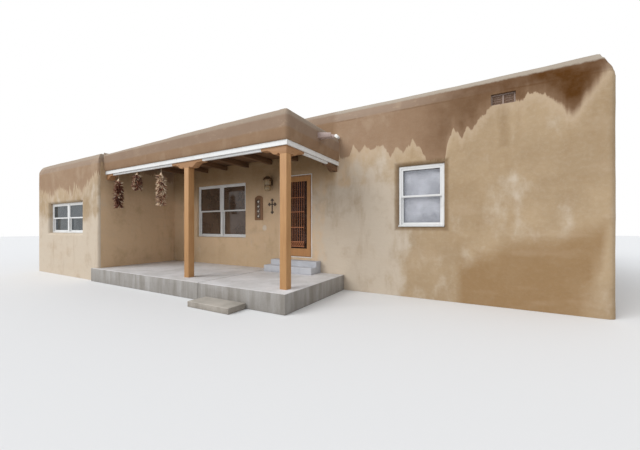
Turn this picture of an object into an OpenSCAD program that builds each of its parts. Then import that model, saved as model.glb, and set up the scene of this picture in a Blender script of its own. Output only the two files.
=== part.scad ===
// Adobe house with a lower wing and a timber porch, standing on z = 0.
// The front faces -Y and the origin is under the middle of the whole plan.

/* [Main block] */
// Length of the whole front, left end to right end
house_length = 14840; // [14200:20:15600]
// Depth of the main block, wall face to wall face
main_depth = 9000; // [8400:20:9800]
// Height of the main parapet above the ground
main_height = 4200; // [4150:10:4400]
// Thickness of the adobe walls
wall_t = 350; // [330:5:400]
// Radius of the upright corners of the main walls
corner_r = 120; // [80:5:180]
// Width of the round on the outer edge of the main parapet
crown_w = 190; // [120:5:220]
// Height of that round
crown_h = 260; // [160:5:280]
// Radius of the inner edge of every parapet
crown_in = 60; // [30:5:80]
// Height of the floor inside the main block
floor_z = 690; // [640:5:720]
// Thickness of the floor slabs
floor_t = 150; // [100:5:190]
// Height of the main room from floor to ceiling
room_h = 2550; // [2450:10:2650]
// Thickness of the ceiling boards and of the roof decks
deck_t = 30; // [20:1:50]
// Depth of the main roof below the parapet at its front edge
roof_drop = 210; // [180:5:240]
// Drop of the main roof deck from front to back
roof_fall = 190; // [100:10:230]
// Thickness of the roof deck with its covering
roof_t = 60; // [40:5:80]

/* [Wing] */
// Length of the wing along the front
wing_w = 3940; // [3700:10:4100]
// Reach of the wing in front of the main wall
wing_reach = 2255; // [2100:5:2280]
// Height of the wing parapet above the ground
wing_height = 3430; // [3390:5:3520]
// Radius of the upright corners of the wing walls
wing_corner_r = 70; // [40:5:120]
// Height of the wing floor above the ground
wing_floor_z = 350; // [250:5:400]
// Depth of the wing roof below its parapet
wing_roof_drop = 240; // [200:5:300]
// Height of the opening between the main room and the wing
passage_h = 2060; // [1950:10:2110]
// Height of that beam
header_h = 250; // [200:5:280]
// Bearing of that beam in the walls
header_bearing = 150; // [100:5:180]

/* [Porch] */
// Depth of the porch slab in front of the main wall
porch_depth = 2328; // [2300:2:2450]
// Length of slab past the right edge of the doorway
slab_past_door = 873; // [800:2:950]
// Height of the porch slab above the ground
slab_z = 350; // [300:5:380]
// Length of slab that runs on in front of the wing
slab_tail = 220; // [150:5:400]
// Width of the square porch posts
post_w = 150; // [130:2:170]
// Distance from the front of the slab to the posts
post_setback = 282; // [260:2:320]
// Distance from the end of the slab to the corner post
post_inset = 174; // [150:2:200]
// Distance between the centres of the two posts
post_spacing = 2620; // [2400:10:2750]
// Height of the posts from the slab to the corbels
post_h = 2410; // [2350:5:2450]
// Height of the corbels
corbel_h = 140; // [120:2:160]
// Reach of a corbel arm beyond its post
corbel_reach = 430; // [380:5:480]
// Reach of the half corbel on the wing wall
wing_corbel_reach = 310; // [290:5:400]
// Reach of the half corbel on the main wall
wall_corbel_reach = 475; // [400:5:500]
// Thickness of a corbel at its tip
corbel_tip = 50; // [40:1:60]
// Height of the porch beams
beam_h = 230; // [200:5:250]
// Width of a porch rafter
rafter_w = 100; // [80:2:120]
// Height of a porch rafter
rafter_h = 130; // [100:2:150]
// Distance between the centres of the rafters
rafter_pitch = 830; // [780:2:850]
// Distance from the wing to the centre of the first rafter
rafter_first = 750; // [700:5:800]
// Number of rafters
rafter_count = 7; // [6:1:7]
// Rise of the porch parapet above the porch roof
parapet_rise = 210; // [160:5:250]
// Thickness of the porch parapet
parapet_t = 270; // [240:5:300]
// Stand of the parapet plaster in front of the fascia
parapet_proud = 42; // [30:1:50]
// Depth of the tuck of that plaster above the fascia
parapet_tuck = 26; // [15:1:30]
// Height of that tuck
parapet_tuck_h = 120; // [60:5:150]
// Thickness of the white fascia board
fascia_t = 32; // [25:1:40]
// Height of the white fascia board
fascia_h = 88; // [70:1:110]
// Height of the white strip under the beams
strip_h = 42; // [30:1:48]
// Thickness of the white strip under the beams
strip_t = 50; // [40:1:55]

/* [Steps] */
// Width of the lower door step
lower_step_w = 1397; // [1300:5:1450]
// Depth of the lower door step
lower_step_d = 455; // [430:5:500]
// Height of the lower door step above the slab
lower_step_h = 155; // [140:5:165]
// Width of the upper door step
upper_step_w = 1360; // [1250:5:1380]
// Depth of the upper door step
upper_step_d = 225; // [200:5:260]
// Height of the upper door step above the lower one
upper_step_h = 125; // [110:5:150]
// Distance the door steps run on past the right edge of the doorway
step_overrun = 250; // [200:5:300]
// Width of the loose block in front of the slab
block_w = 1038; // [900:2:1100]
// Depth of that block
block_d = 421; // [380:1:450]
// Height of that block
block_h = 105; // [90:1:120]

/* [Doorway] */
// Distance between the porch window and the doorway
window_to_door = 1213; // [1140:2:1260]
// Width of the doorway
door_w = 993; // [950:1:1030]
// Height of the doorway above the floor
door_h = 2094; // [2050:1:2130]
// Width of the white frame round the doors
jamb_w = 50; // [40:1:60]
// Depth of the white frame in the wall
jamb_d = 150; // [140:1:190]
// Height of the threshold
threshold_h = 35; // [25:1:40]
// Clearance round the doors
door_gap = 5; // [5:0.5:8]
// Thickness of the screen door
screen_t = 32; // [28:1:36]
// Width of the stiles of the screen door
screen_stile = 92; // [85:1:100]
// Height of the top rail of the screen door
screen_top = 115; // [100:1:130]
// Height of the bottom rail of the screen door
screen_foot = 185; // [165:1:210]
// Width of the glass strip at the hinge side of the grille
strip_gap = 95; // [80:1:110]
// Diameter of the spindles of the grille
spindle_d = 16; // [12:1:20]
// Number of spindles
spindle_count = 9; // [7:1:10]
// Thickness of the entry door
entry_t = 45; // [40:1:48]

/* [Windows] */
// Depth of the window frames
frame_d = 90; // [80:1:110]
// Width of the window frames
frame_w = 45; // [36:1:55]
// Width of the post between two paired windows
mullion_w = 85; // [70:1:100]
// Width of the sash rails
sash_w = 40; // [32:1:48]
// Depth of a sash
sash_d = 35; // [30:1:39]
// Thickness of the glass
glass_t = 6; // [4:1:10]
// Height of the window heads above the main floor
head_h = 2044; // [2000:2:2090]
// Width of the porch window
porch_window_w = 2042; // [1960:2:2100]
// Height of the porch window
porch_window_h = 1573; // [1500:1:1650]
// Distance from the wing to the porch window
porch_window_x = 1110; // [1060:2:1160]
// Recess of the porch window behind the wall face
porch_window_in = 70; // [50:1:90]
// Width of the right window
right_window_w = 901; // [860:1:960]
// Height of the right window
right_window_h = 1268; // [1200:1:1320]
// Distance between the end of the slab and the right window
slab_to_window = 1257; // [1180:2:1340]
// Recess of the right window behind the wall face
right_window_in = 60; // [40:1:90]
// Width of the wing window
wing_window_w = 2240; // [2160:2:2300]
// Height of the wing window
wing_window_h = 920; // [860:2:980]
// Height of the head of the wing window above the wing floor
wing_head_h = 1850; // [1800:2:1900]
// Distance from the left end of the house to the wing window
wing_window_x = 780; // [740:2:820]
// Recess of the wing window behind the wall face
wing_window_in = 110; // [80:1:130]
// Width of each window at the back and on the sides
rear_window_w = 901; // [860:1:960]
// Height of each window at the back and on the sides
rear_window_h = 1268; // [1200:1:1320]
// Distance between the back windows
rear_window_pitch = 3700; // [3400:20:4000]

/* [Fittings] */
// Width of the vent in the front wall
vent_w = 379; // [340:1:420]
// Height of the vent
vent_h = 200; // [180:1:220]
// Distance from the right end of the house to the vent
vent_x = 1331; // [1280:1:1400]
// Depth of the top of the vent below the parapet
vent_drop = 315; // [280:1:340]
// Width of a drain spout
spout_w = 160; // [130:1:180]
// Height of a drain spout
spout_h = 110; // [90:1:130]
// Reach of a drain spout beyond its wall
spout_reach = 300; // [240:5:400]
// Thickness of the sides of a drain spout
spout_t = 22; // [15:1:30]
// Distance from the main wall to the porch spout
porch_spout_y = 995; // [900:5:1080]
// Diameter of the roof of the wall lantern
lantern_d = 240; // [210:2:270]
// Height of the wall lantern
lantern_h = 390; // [360:2:420]
// Reach of the lantern's centre from the wall
lantern_reach = 170; // [150:1:200]
// Width of the number board
plaque_w = 270; // [240:1:300]
// Height of the number board
plaque_h = 670; // [620:2:700]
// Thickness of the number board
plaque_t = 22; // [16:1:30]
// Width of the wall cross
cross_w = 275; // [240:1:300]
// Height of the wall cross
cross_h = 410; // [380:1:440]
// Thickness of the wall cross
cross_t = 14; // [8:1:20]
// Length of the left and right strings of chillies
ristra_long = 780; // [700:10:860]
// Length of the middle string of chillies
ristra_short = 450; // [400:10:520]
// Diameter of the strings of chillies
ristra_d = 280; // [240:5:300]
// Length of wire above the long strings
ristra_wire = 190; // [150:5:220]

/* [Hidden] */

// Plan: the box of the whole house is centred on the origin
x_left = -house_length / 2;
x_right = house_length / 2;
y_front = -(block_d + porch_depth + main_depth + spout_reach) / 2;
y_slab = y_front + block_d;
y_wall = y_slab + porch_depth;
y_back = y_wall + main_depth;
y_wing = y_wall - wing_reach;
x_wing = x_left + wing_w;

// Openings in the front wall, set out from the wing to the end of the porch
x_porch_window = x_wing + porch_window_x;
x_door = x_porch_window + porch_window_w + window_to_door;
x_slab = x_door + door_w + slab_past_door;
x_right_window = x_slab + slab_to_window;
x_wing_window = x_left + wing_window_x;
x_vent = x_right - vent_x - vent_w;
door_top_z = floor_z + door_h;
head_z = floor_z + head_h;
wing_head_z = wing_floor_z + wing_head_h;
vent_z = main_height - vent_drop - vent_h;

// Levels of the ceiling and the roofs
ceiling_z = floor_z + room_h;
roof_front_z = main_height - roof_drop;
wing_roof_z = wing_height - wing_roof_drop;
header_z = floor_z + passage_h;

// Porch timber
x_post = x_slab - post_inset - post_w;
x_middle = x_post - post_spacing;
y_post = y_slab + post_setback;
y_post_back = y_post + post_w;
corbel_z = slab_z + post_h;
beam_z = corbel_z + corbel_h;
rafter_z = beam_z + beam_h;
deck_z = rafter_z + rafter_h;
deck_top_z = deck_z + deck_t;
porch_height = deck_top_z + parapet_rise;
y_parapet = y_post - fascia_t - parapet_proud;
x_parapet = x_post + post_w + fascia_t + parapet_proud;
fascia_top_z = beam_z + fascia_h;
rim_t = fascia_t + parapet_proud + 50;

spout_z = roof_front_z - roof_fall - spout_t;

// Rounds of the porch parapet, and the setting of the strips under the beams
porch_crown = 110;
strip_in = 10;
post_chamfer = 6;

// Windows and doors
sash_in = 8;
sill_lip = 12;
leaf_w = door_w - 2 * jamb_w - 2 * door_gap;
leaf_h = door_h - jamb_w - threshold_h - 2 * door_gap;
stop_w = 15;
hinge_h = 100;
hinge_r = 7;
hinge_t = 3;
hinge_off = 1;
hinge_plate = 34;
entry_rail = 120;
panel_in = 9;
panel_h = (leaf_h - 3 * entry_rail) / 2;
handle_z = 940;
grille_rail = 18;
grille_t = 15;
brace_w = 9;
rail_shares = [0.03, 0.10, 0.315, 0.547, 0.762];

// Fittings on the walls
vent_in = 55;
vent_d = 60;
vent_rim = 22;
light_r = 52;
light_in = 60;
light_z = porch_height + 62;
ristra_first = 460;
ristra_gaps = [875, 1010];
lantern_up = 1720;
plaque_up = 960;
cross_up = 1120;
x_lantern = x_door - 265;
lantern_z = floor_z + lantern_up;
x_plaque = x_door - 835;
plaque_z = floor_z + plaque_up;
x_cross = x_door - 380;
cross_z = floor_z + cross_up;

function round_out(w, h, u, v) = [for (a = [0:15:90]) [u - w * (1 - cos(a)), v - h * (1 - sin(a))]];
function round_in(r, v) = [for (a = [90:30:180]) [r * (1 + cos(a)), v - r * (1 - sin(a))]];

// Section of a wall: u runs from the inner face out, v is the height
function wall_section(h, z, inner) =
    concat([[0, z], [wall_t, z]], round_out(crown_w, crown_h, wall_t, h), inner);

// Straight stretch of wall along +X with its outer face on y = 0
module wall_run(length, h, z, inner) {
    rotate([90, 0, 90]) linear_extrude(length)
        polygon([for (p = wall_section(h, z, inner)) [wall_t - p[0], p[1]]]);
}

// Corner of two walls along +X and +Y, mitred, with a rounded upright edge
module wall_corner(h, z, r) {
    far = wall_t + 1;
    difference() {
        intersection() {
            wall_run(wall_t, h, z, [[0, h]]);
            mirror([1, -1, 0]) wall_run(wall_t, h, z, [[0, h]]);
            translate([0, 0, z - 1]) linear_extrude(h - z + 2)
                polygon(concat([for (a = [180:15:270]) [r + r * cos(a), r + r * sin(a)]],
                    [[far, 0], [far, far], [0, far]]));
        }
        translate([wall_t, wall_t, 0]) rotate([0, 0, 180]) rotate_extrude(angle = 90)
            polygon(concat([[0, h + 1], [crown_in, h + 1]], round_in(crown_in, h)));
    }
}

module main_run(length, z = 0) { wall_run(length, main_height, z, round_in(crown_in, main_height)); }
module main_corner(z = 0) { wall_corner(main_height, z, corner_r); }
module wing_run(length) { wall_run(length, wing_height, 0, round_in(crown_in, wing_height)); }
module wing_corner() { wall_corner(wing_height, 0, wing_corner_r); }

// Cut for a window of the given size, through a wall whose outer face is on y = 0
module wall_cut(w, h) { translate([0, -wall_t, 0]) cube([w, 3 * wall_t, h]); }

module porch_window_place() { translate([x_porch_window, y_wall, head_z - porch_window_h]) children(); }
module right_window_place() { translate([x_right_window, y_wall, head_z - right_window_h]) children(); }
module wing_window_place() { translate([x_wing_window, y_wing, wing_head_z - wing_window_h]) children(); }

// Windows that repeat along the back and once on each side
module back_window_places() {
    for (i = [-1:1]) translate([i * rear_window_pitch, y_back, head_z - rear_window_h])
        mirror([0, 1, 0]) translate([-rear_window_w / 2, 0, 0]) children();
}
module right_side_window_place() {
    translate([x_right, (y_wall + y_back) / 2, head_z - rear_window_h])
        mirror([1, 0, 0]) mirror([1, -1, 0]) translate([-rear_window_w / 2, 0, 0]) children();
}
module left_side_window_place() {
    translate([x_left, (y_wall + y_back) / 2, head_z - rear_window_h])
        mirror([1, -1, 0]) translate([-rear_window_w / 2, 0, 0]) children();
}

// Room taken by the beam over the opening into the wing
module header_space() {
    x0 = x_left + wall_t - header_bearing;
    translate([x0, y_wall, header_z]) cube([x_wing - wall_t + header_bearing - x0, wall_t, header_h]);
}

// Drain places: two through the back parapet, one through the side of the porch
module back_spout_places() {
    for (x = [-rear_window_pitch / 2, rear_window_pitch / 2])
        translate([x, y_back, spout_z]) mirror([0, 1, 0]) children();
}
module porch_spout_place() {
    translate([x_parapet, y_wall - porch_spout_y, deck_top_z - spout_t]) mirror([1, 0, 0])
        mirror([1, -1, 0]) children();
}
module spout_cut(t) { translate([-spout_w / 2, -1, 0]) cube([spout_w, t + 2, spout_h]); }

plaster = [0.75, 0.64, 0.51];
plaster_dark = [0.62, 0.50, 0.39];
cedar = [0.72, 0.50, 0.29];
cedar_dark = [0.42, 0.27, 0.15];
white_trim = [0.93, 0.93, 0.91];
concrete = [0.72, 0.73, 0.75];
iron = [0.16, 0.13, 0.11];
pane = [0.35, 0.40, 0.42];

module front_wall_left() {
    x0 = x_wing - wall_t;
    color(plaster) difference() {
        translate([x0, y_wall, 0]) main_run(x_door - x0);
        porch_window_place() wall_cut(porch_window_w, porch_window_h);
        header_space();
    }
}

module front_wall_right() {
    x0 = x_door + door_w;
    color(plaster) difference() {
        union() {
            translate([x0, y_wall, 0]) main_run(x_right - wall_t - x0);
            translate([x_right, y_wall, 0]) mirror([1, 0, 0]) main_corner();
        }
        right_window_place() wall_cut(right_window_w, right_window_h);
        translate([x_vent, y_wall, vent_z]) wall_cut(vent_w, vent_h);
    }
}

module front_wall_over_door() {
    color(plaster) translate([x_door, y_wall, 0]) main_run(door_w, door_top_z);
}

// Wall under the threshold, with its top level with the floor
module door_sill_wall() {
    color(plaster) translate([x_door, y_wall, 0]) cube([door_w, wall_t, floor_z]);
}

// Wall above the opening into the wing: square below the wing parapet, rounded above it
module front_wall_over_wing() {
    color(plaster_dark) difference() {
        union() {
            translate([x_left + wall_t, y_wall, 0]) main_run(x_wing - x_left - 2 * wall_t, header_z);
            translate([x_left, y_wall, header_z]) cube([wall_t, wall_t, wing_height - header_z]);
            translate([x_left, y_wall, 0]) main_corner(wing_height);
        }
        header_space();
    }
}

module wing_sill_wall() {
    color(plaster) translate([x_left + wall_t, y_wall, 0])
        cube([x_wing - x_left - 2 * wall_t, wall_t, floor_z]);
}

module right_wall() {
    color(plaster) difference() {
        translate([x_right, y_wall + wall_t, 0]) mirror([1, 0, 0]) mirror([1, -1, 0])
            main_run(main_depth - 2 * wall_t);
        right_side_window_place() wall_cut(rear_window_w, rear_window_h);
    }
}

module back_wall() {
    color(plaster) difference() {
        translate([0, y_back, 0]) mirror([0, 1, 0]) {
            translate([x_left + wall_t, 0, 0]) main_run(house_length - 2 * wall_t);
            translate([x_left, 0, 0]) main_corner();
            translate([x_right, 0, 0]) mirror([1, 0, 0]) main_corner();
        }
        back_window_places() wall_cut(rear_window_w, rear_window_h);
        back_spout_places() spout_cut(wall_t);
    }
}

// The corner behind the wing stands square, as high as the beam over the opening
module left_wall() {
    color(plaster) difference() {
        union() {
            translate([x_left, y_wall + wall_t, 0]) mirror([1, -1, 0]) main_run(main_depth - 2 * wall_t);
            translate([x_left, y_wall, 0]) cube([wall_t, wall_t, header_z]);
        }
        left_side_window_place() wall_cut(rear_window_w, rear_window_h);
    }
}

module wing_front_wall() {
    color(plaster_dark) difference() {
        union() {
            translate([x_left + wall_t, y_wing, 0]) wing_run(wing_w - 2 * wall_t);
            translate([x_left, y_wing, 0]) wing_corner();
            translate([x_wing, y_wing, 0]) mirror([1, 0, 0]) wing_corner();
        }
        wing_window_place() wall_cut(wing_window_w, wing_window_h);
    }
}

module wing_left_wall() {
    color(plaster) translate([x_left, y_wing + wall_t, 0]) mirror([1, -1, 0])
        wing_run(wing_reach - wall_t);
}

module wing_right_wall() {
    color(plaster) translate([x_wing, y_wing + wall_t, 0]) mirror([1, 0, 0]) mirror([1, -1, 0])
        wing_run(wing_reach - wall_t);
}

module wing_header_beam() { color(cedar_dark) header_space(); }

// Level plate between the main walls
module main_plate(z, t) {
    translate([x_left + wall_t, y_wall + wall_t, z])
        cube([house_length - 2 * wall_t, main_depth - 2 * wall_t, t]);
}

// Level plate between the wing walls
module wing_plate(z, t) {
    translate([x_left + wall_t, y_wing + wall_t, z])
        cube([wing_w - 2 * wall_t, wing_reach - wall_t, t]);
}

module main_floor() { color(concrete) main_plate(floor_z - floor_t, floor_t); }
module wing_floor() { color(concrete) wing_plate(wing_floor_z - floor_t, floor_t); }
module main_ceiling() { color(cedar) main_plate(ceiling_z, deck_t); }
module wing_roof() { color(plaster_dark) wing_plate(wing_roof_z - roof_t, roof_t); }

module main_roof() {
    y0 = y_wall + wall_t;
    y1 = y_back - wall_t;
    color(plaster_dark) translate([x_left + wall_t, 0, 0]) rotate([90, 0, 90])
        linear_extrude(house_length - 2 * wall_t)
            polygon([[y0, roof_front_z - roof_t], [y1, roof_front_z - roof_fall - roof_t],
                [y1, roof_front_z - roof_fall], [y0, roof_front_z]]);
}

// The slab fills the corner by the wing and runs on a little way in front of it
module porch_slab() {
    color(concrete) linear_extrude(slab_z)
        polygon([[x_wing, y_wall], [x_wing, y_wing], [x_wing - slab_tail, y_wing],
            [x_wing - slab_tail, y_slab], [x_slab, y_slab], [x_slab, y_wall]]);
}

module door_steps() {
    x1 = x_door + door_w + step_overrun;
    color(concrete) translate([0, 0, slab_z]) union() {
        translate([x1 - lower_step_w, y_wall - lower_step_d, 0])
            cube([lower_step_w, lower_step_d, lower_step_h]);
        translate([x1 - upper_step_w, y_wall - upper_step_d, 0])
            cube([upper_step_w, upper_step_d, lower_step_h + upper_step_h]);
    }
}

module front_step_block() {
    color(plaster_dark) translate([x_door + door_w / 2 - block_w / 2, y_front, 0])
        cube([block_w, block_d, block_h]);
}

// Square post with its upright edges taken off
module porch_post(x) {
    c = post_chamfer;
    w = post_w;
    translate([x, y_post, slab_z]) linear_extrude(post_h)
        polygon([[c, 0], [w - c, 0], [w, c], [w, w - c], [w - c, w], [c, w], [0, w - c], [0, c]]);
}
module corner_post() { color(cedar) porch_post(x_post); }
module middle_post() { color(cedar) porch_post(x_middle); }

// Outline of a corbel arm: u runs out from the post, v up from its foot
module corbel_outline(reach) {
    tip_v = corbel_h - corbel_tip;
    nib_u = reach * 0.62;
    lobe_u = reach * 0.26;
    nib_v = tip_v - 12;
    cove_r = reach * 0.045;
    difference() {
        polygon(concat([[0, 0], [0, corbel_h], [reach, corbel_h], [reach, tip_v + 10],
            [reach - 10, tip_v], [nib_u, tip_v]],
            [for (s = [0:0.125:1]) [nib_u + (lobe_u - nib_u) * s, nib_v * (1 + cos(180 * s)) / 2]]));
        translate([cove_r * 1.6, 0]) circle(cove_r, $fn = 24);
    }
}

// One arm along +X from x = 0, as thick as the post
module corbel_arm(reach) {
    translate([0, post_w, 0]) rotate([90, 0, 0]) linear_extrude(post_w) corbel_outline(reach);
}

module corbel_block(x, y) { translate([x, y, corbel_z]) cube([post_w, post_w, corbel_h]); }

module corner_corbel() {
    color(cedar) union() {
        corbel_block(x_post, y_post);
        translate([x_post, y_post, corbel_z]) mirror([1, 0, 0]) corbel_arm(corbel_reach);
        translate([x_post, y_post_back, corbel_z]) mirror([1, -1, 0]) corbel_arm(corbel_reach);
    }
}

module middle_corbel() {
    color(cedar) union() {
        corbel_block(x_middle, y_post);
        translate([x_middle, y_post, corbel_z]) mirror([1, 0, 0]) corbel_arm(corbel_reach);
        translate([x_middle + post_w, y_post, corbel_z]) corbel_arm(corbel_reach);
    }
}

module wing_wall_corbel() {
    color(cedar) translate([x_wing, y_post, corbel_z]) corbel_arm(wing_corbel_reach);
}

module main_wall_corbel() {
    color(cedar_dark) translate([x_post, y_wall, corbel_z]) mirror([0, 1, 0]) mirror([1, -1, 0])
        corbel_arm(wall_corbel_reach);
}

module porch_front_beam() {
    color(cedar_dark) translate([x_wing, y_post, beam_z]) cube([x_post + post_w - x_wing, post_w, beam_h]);
}

module porch_side_beam() {
    color(cedar_dark) translate([x_post, y_post_back, beam_z])
        cube([post_w, y_wall - y_post_back, beam_h]);
}

module porch_rafters() {
    y0 = y_parapet + rim_t;
    color(cedar_dark) for (i = [0:rafter_count - 1])
        translate([x_wing + rafter_first + i * rafter_pitch - rafter_w / 2, y0, rafter_z])
            cube([rafter_w, y_wall - y0, rafter_h]);
}

module porch_roof_deck() {
    y0 = y_parapet + rim_t;
    color(cedar_dark) translate([x_wing, y0, deck_z])
        cube([x_parapet - rim_t - x_wing, y_wall - y0, deck_t]);
}

// Section of the porch parapet: depth y behind its face, height z
module porch_section() {
    skin = fascia_t + parapet_proud;
    polygon(concat(
        [for (a = [0:22.5:90]) [parapet_tuck * (1 - sin(a)), fascia_top_z + parapet_tuck_h * (1 - cos(a))]],
        [for (p = round_out(porch_crown, porch_crown, 0, porch_height)) [-p[0], p[1]]],
        [for (p = round_in(crown_in, porch_height)) [parapet_t - p[0], p[1]]],
        [[parapet_t, deck_top_z], [rim_t, deck_top_z], [rim_t, rafter_z], [skin, rafter_z],
            [skin, fascia_top_z]]));
}

module porch_run(length) { rotate([90, 0, 90]) linear_extrude(length) porch_section(); }

module porch_parapet() {
    r = fascia_t + parapet_proud;
    color(plaster_dark) difference() {
        union() {
            translate([x_wing, y_parapet, 0]) porch_run(x_parapet - r - x_wing);
            translate([x_parapet, y_parapet + r, 0]) mirror([1, 0, 0]) mirror([1, -1, 0])
                porch_run(y_wall - y_parapet - r);
            translate([x_parapet - r, y_parapet + r, 0]) rotate([0, 0, 270]) rotate_extrude(angle = 90)
                intersection() {
                    translate([r, 0]) mirror([1, 0]) porch_section();
                    square([r, porch_height]);
                }
        }
        porch_spout_place() spout_cut(parapet_t);
    }
}

// Fascia board with its return, and the strips between the corbel tips
module porch_fascia() {
    x1 = x_post + post_w;
    strip_z = beam_z - strip_h;
    color(white_trim) {
        translate([0, 0, beam_z]) linear_extrude(fascia_h)
            polygon([[x_wing, y_post - fascia_t], [x1 + fascia_t, y_post - fascia_t],
                [x1 + fascia_t, y_wall], [x1, y_wall], [x1, y_post], [x_wing, y_post]]);
        for (span = [[x_wing + wing_corbel_reach, x_middle - corbel_reach],
                [x_middle + post_w + corbel_reach, x_post - corbel_reach]])
            translate([span[0], y_post + strip_in, strip_z]) cube([span[1] - span[0], strip_t, strip_h]);
        translate([x1 - strip_in - strip_t, y_post_back + corbel_reach, strip_z])
            cube([strip_t, y_wall - wall_corbel_reach - y_post_back - corbel_reach, strip_h]);
    }
}

function unit_w(w, units) = (w - 2 * frame_w - (units - 1) * mullion_w) / units;
function sash_h(h) = (h - 2 * frame_w + sash_w) / 2;

// Lower left corners of the sashes: [x, y, z] for each one, lower and upper
function sash_places(w, h, units) = [for (i = [0:units - 1], up = [0, 1])
    [frame_w + i * (unit_w(w, units) + mullion_w), sash_in + (1 - up) * sash_d,
        frame_w + up * (sash_h(h) - sash_w)]];

module sash_hole(w, h, depth) {
    translate([sash_w, 0, sash_w]) cube([w - 2 * sash_w, depth, h - 2 * sash_w]);
}

// Double-hung window in the XZ plane with its outer face on y = 0
module window_frame(w, h, units) {
    uw = unit_w(w, units);
    difference() {
        cube([w, frame_d, h]);
        for (i = [0:units - 1])
            translate([frame_w + i * (uw + mullion_w), -1, frame_w])
                cube([uw, frame_d + 2, h - 2 * frame_w]);
    }
    for (p = sash_places(w, h, units)) translate(p) difference() {
        cube([uw, sash_d, sash_h(h)]);
        translate([0, -1, 0]) sash_hole(uw, sash_h(h), sash_d + 2);
    }
}

module window_glass(w, h, units) {
    for (p = sash_places(w, h, units))
        translate([p[0], p[1] + (sash_d - glass_t) / 2, p[2]])
            sash_hole(unit_w(w, units), sash_h(h), glass_t);
}

module porch_window_frame() {
    color(white_trim) porch_window_place() translate([0, porch_window_in, 0])
        window_frame(porch_window_w, porch_window_h, 2);
}
module porch_window_glass() {
    color(pane) porch_window_place() translate([0, porch_window_in, 0])
        window_glass(porch_window_w, porch_window_h, 2);
}

// The right window has a sloping white sill in front of its frame
module right_window_frame() {
    color(white_trim) right_window_place() {
        translate([0, right_window_in, 0]) window_frame(right_window_w, right_window_h, 1);
        rotate([90, 0, 90]) linear_extrude(right_window_w)
            polygon([[-sill_lip, 0], [right_window_in, 0], [right_window_in, frame_w], [-sill_lip, sill_lip]]);
    }
}
module right_window_glass() {
    color(pane) right_window_place() translate([0, right_window_in, 0])
        window_glass(right_window_w, right_window_h, 1);
}

module wing_window_frame() {
    color(white_trim) wing_window_place() translate([0, wing_window_in, 0])
        window_frame(wing_window_w, wing_window_h, 2);
}
module wing_window_glass() {
    color(pane) wing_window_place() translate([0, wing_window_in, 0])
        window_glass(wing_window_w, wing_window_h, 2);
}

module rear_window_places() {
    back_window_places() children();
    right_side_window_place() children();
    left_side_window_place() children();
}
module rear_window_frames() {
    color(white_trim) rear_window_places() translate([0, right_window_in, 0])
        window_frame(rear_window_w, rear_window_h, 1);
}
module rear_window_glass() {
    color(pane) rear_window_places() translate([0, right_window_in, 0])
        window_glass(rear_window_w, rear_window_h, 1);
}

// Doors: the places below are measured from the lower left corner of the doorway
module door_place() { translate([x_door, y_wall, floor_z]) children(); }
module leaf_place(y) { door_place() translate([jamb_w + door_gap, y, threshold_h + door_gap]) children(); }

// Pair of hinge halves: a barrel on the pin line and a plate on the face, from z up
module hinge_half(z, side) {
    translate([0, 0, z]) {
        cylinder(hinge_h / 2, r = hinge_r, $fn = 24);
        translate([side > 0 ? 0 : -hinge_plate, hinge_r - hinge_t + hinge_off, 0])
            cube([hinge_plate, hinge_t, hinge_h / 2]);
    }
}

// Hinge halves at three heights, on the frame below and on the door above
module hinge_halves(side) {
    for (z = [0.1, 0.5, 0.9] * leaf_h) hinge_half(side > 0 ? z - hinge_h / 2 : z, side);
}
module screen_hinge_place() { leaf_place(-hinge_r - hinge_off) translate([leaf_w + door_gap / 2, 0, 0]) children(); }
module entry_hinge_place() {
    leaf_place(jamb_d + hinge_r + hinge_off) translate([leaf_w + door_gap / 2, 0, 0]) mirror([0, 1, 0]) children();
}

module door_frame() {
    stop_y = screen_t + door_gap;
    inner_w = door_w - 2 * jamb_w;
    inner_h = door_h - jamb_w - threshold_h;
    color(white_trim) {
        door_place() difference() {
            cube([door_w, jamb_d, door_h]);
            translate([jamb_w, -1, threshold_h]) cube([inner_w, stop_y + 1, inner_h]);
            translate([jamb_w + stop_w, -1, threshold_h])
                cube([inner_w - 2 * stop_w, jamb_d + 2, inner_h - stop_w]);
            translate([jamb_w, jamb_d - entry_t - door_gap, threshold_h])
                cube([inner_w, entry_t + door_gap + 1, inner_h]);
        }
        screen_hinge_place() hinge_halves(1);
        entry_hinge_place() hinge_halves(1);
    }
}

// Turned spindle standing on z = 0, with a bead in the middle of each of its bays
module spindle(h) {
    r = spindle_d / 2;
    n = len(rail_shares);
    levels = concat([0], rail_shares * h, [h]);
    rotate_extrude($fn = 24) polygon(concat([[0, 0]],
        [for (i = [2:n], j = [0:3]) let (a = levels[i], b = levels[i + 1], m = (a + b) / 2, q = 28)
            [[r * 0.72, a + 12], [r * 0.55, m - q], [r, m], [r * 0.55, m + q]][j]],
        [[r * 0.72, h], [0, h]]));
}

// Two crossed bars that fill a cell of the grille
module brace(w, h) {
    for (s = [-1, 1]) translate([w / 2, grille_t * 0.3, h / 2]) rotate([90, 0, 0])
        linear_extrude(grille_t * 0.6) rotate(s * atan2(h, w))
            square([norm([w, h]), brace_w], center = true);
}

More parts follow.
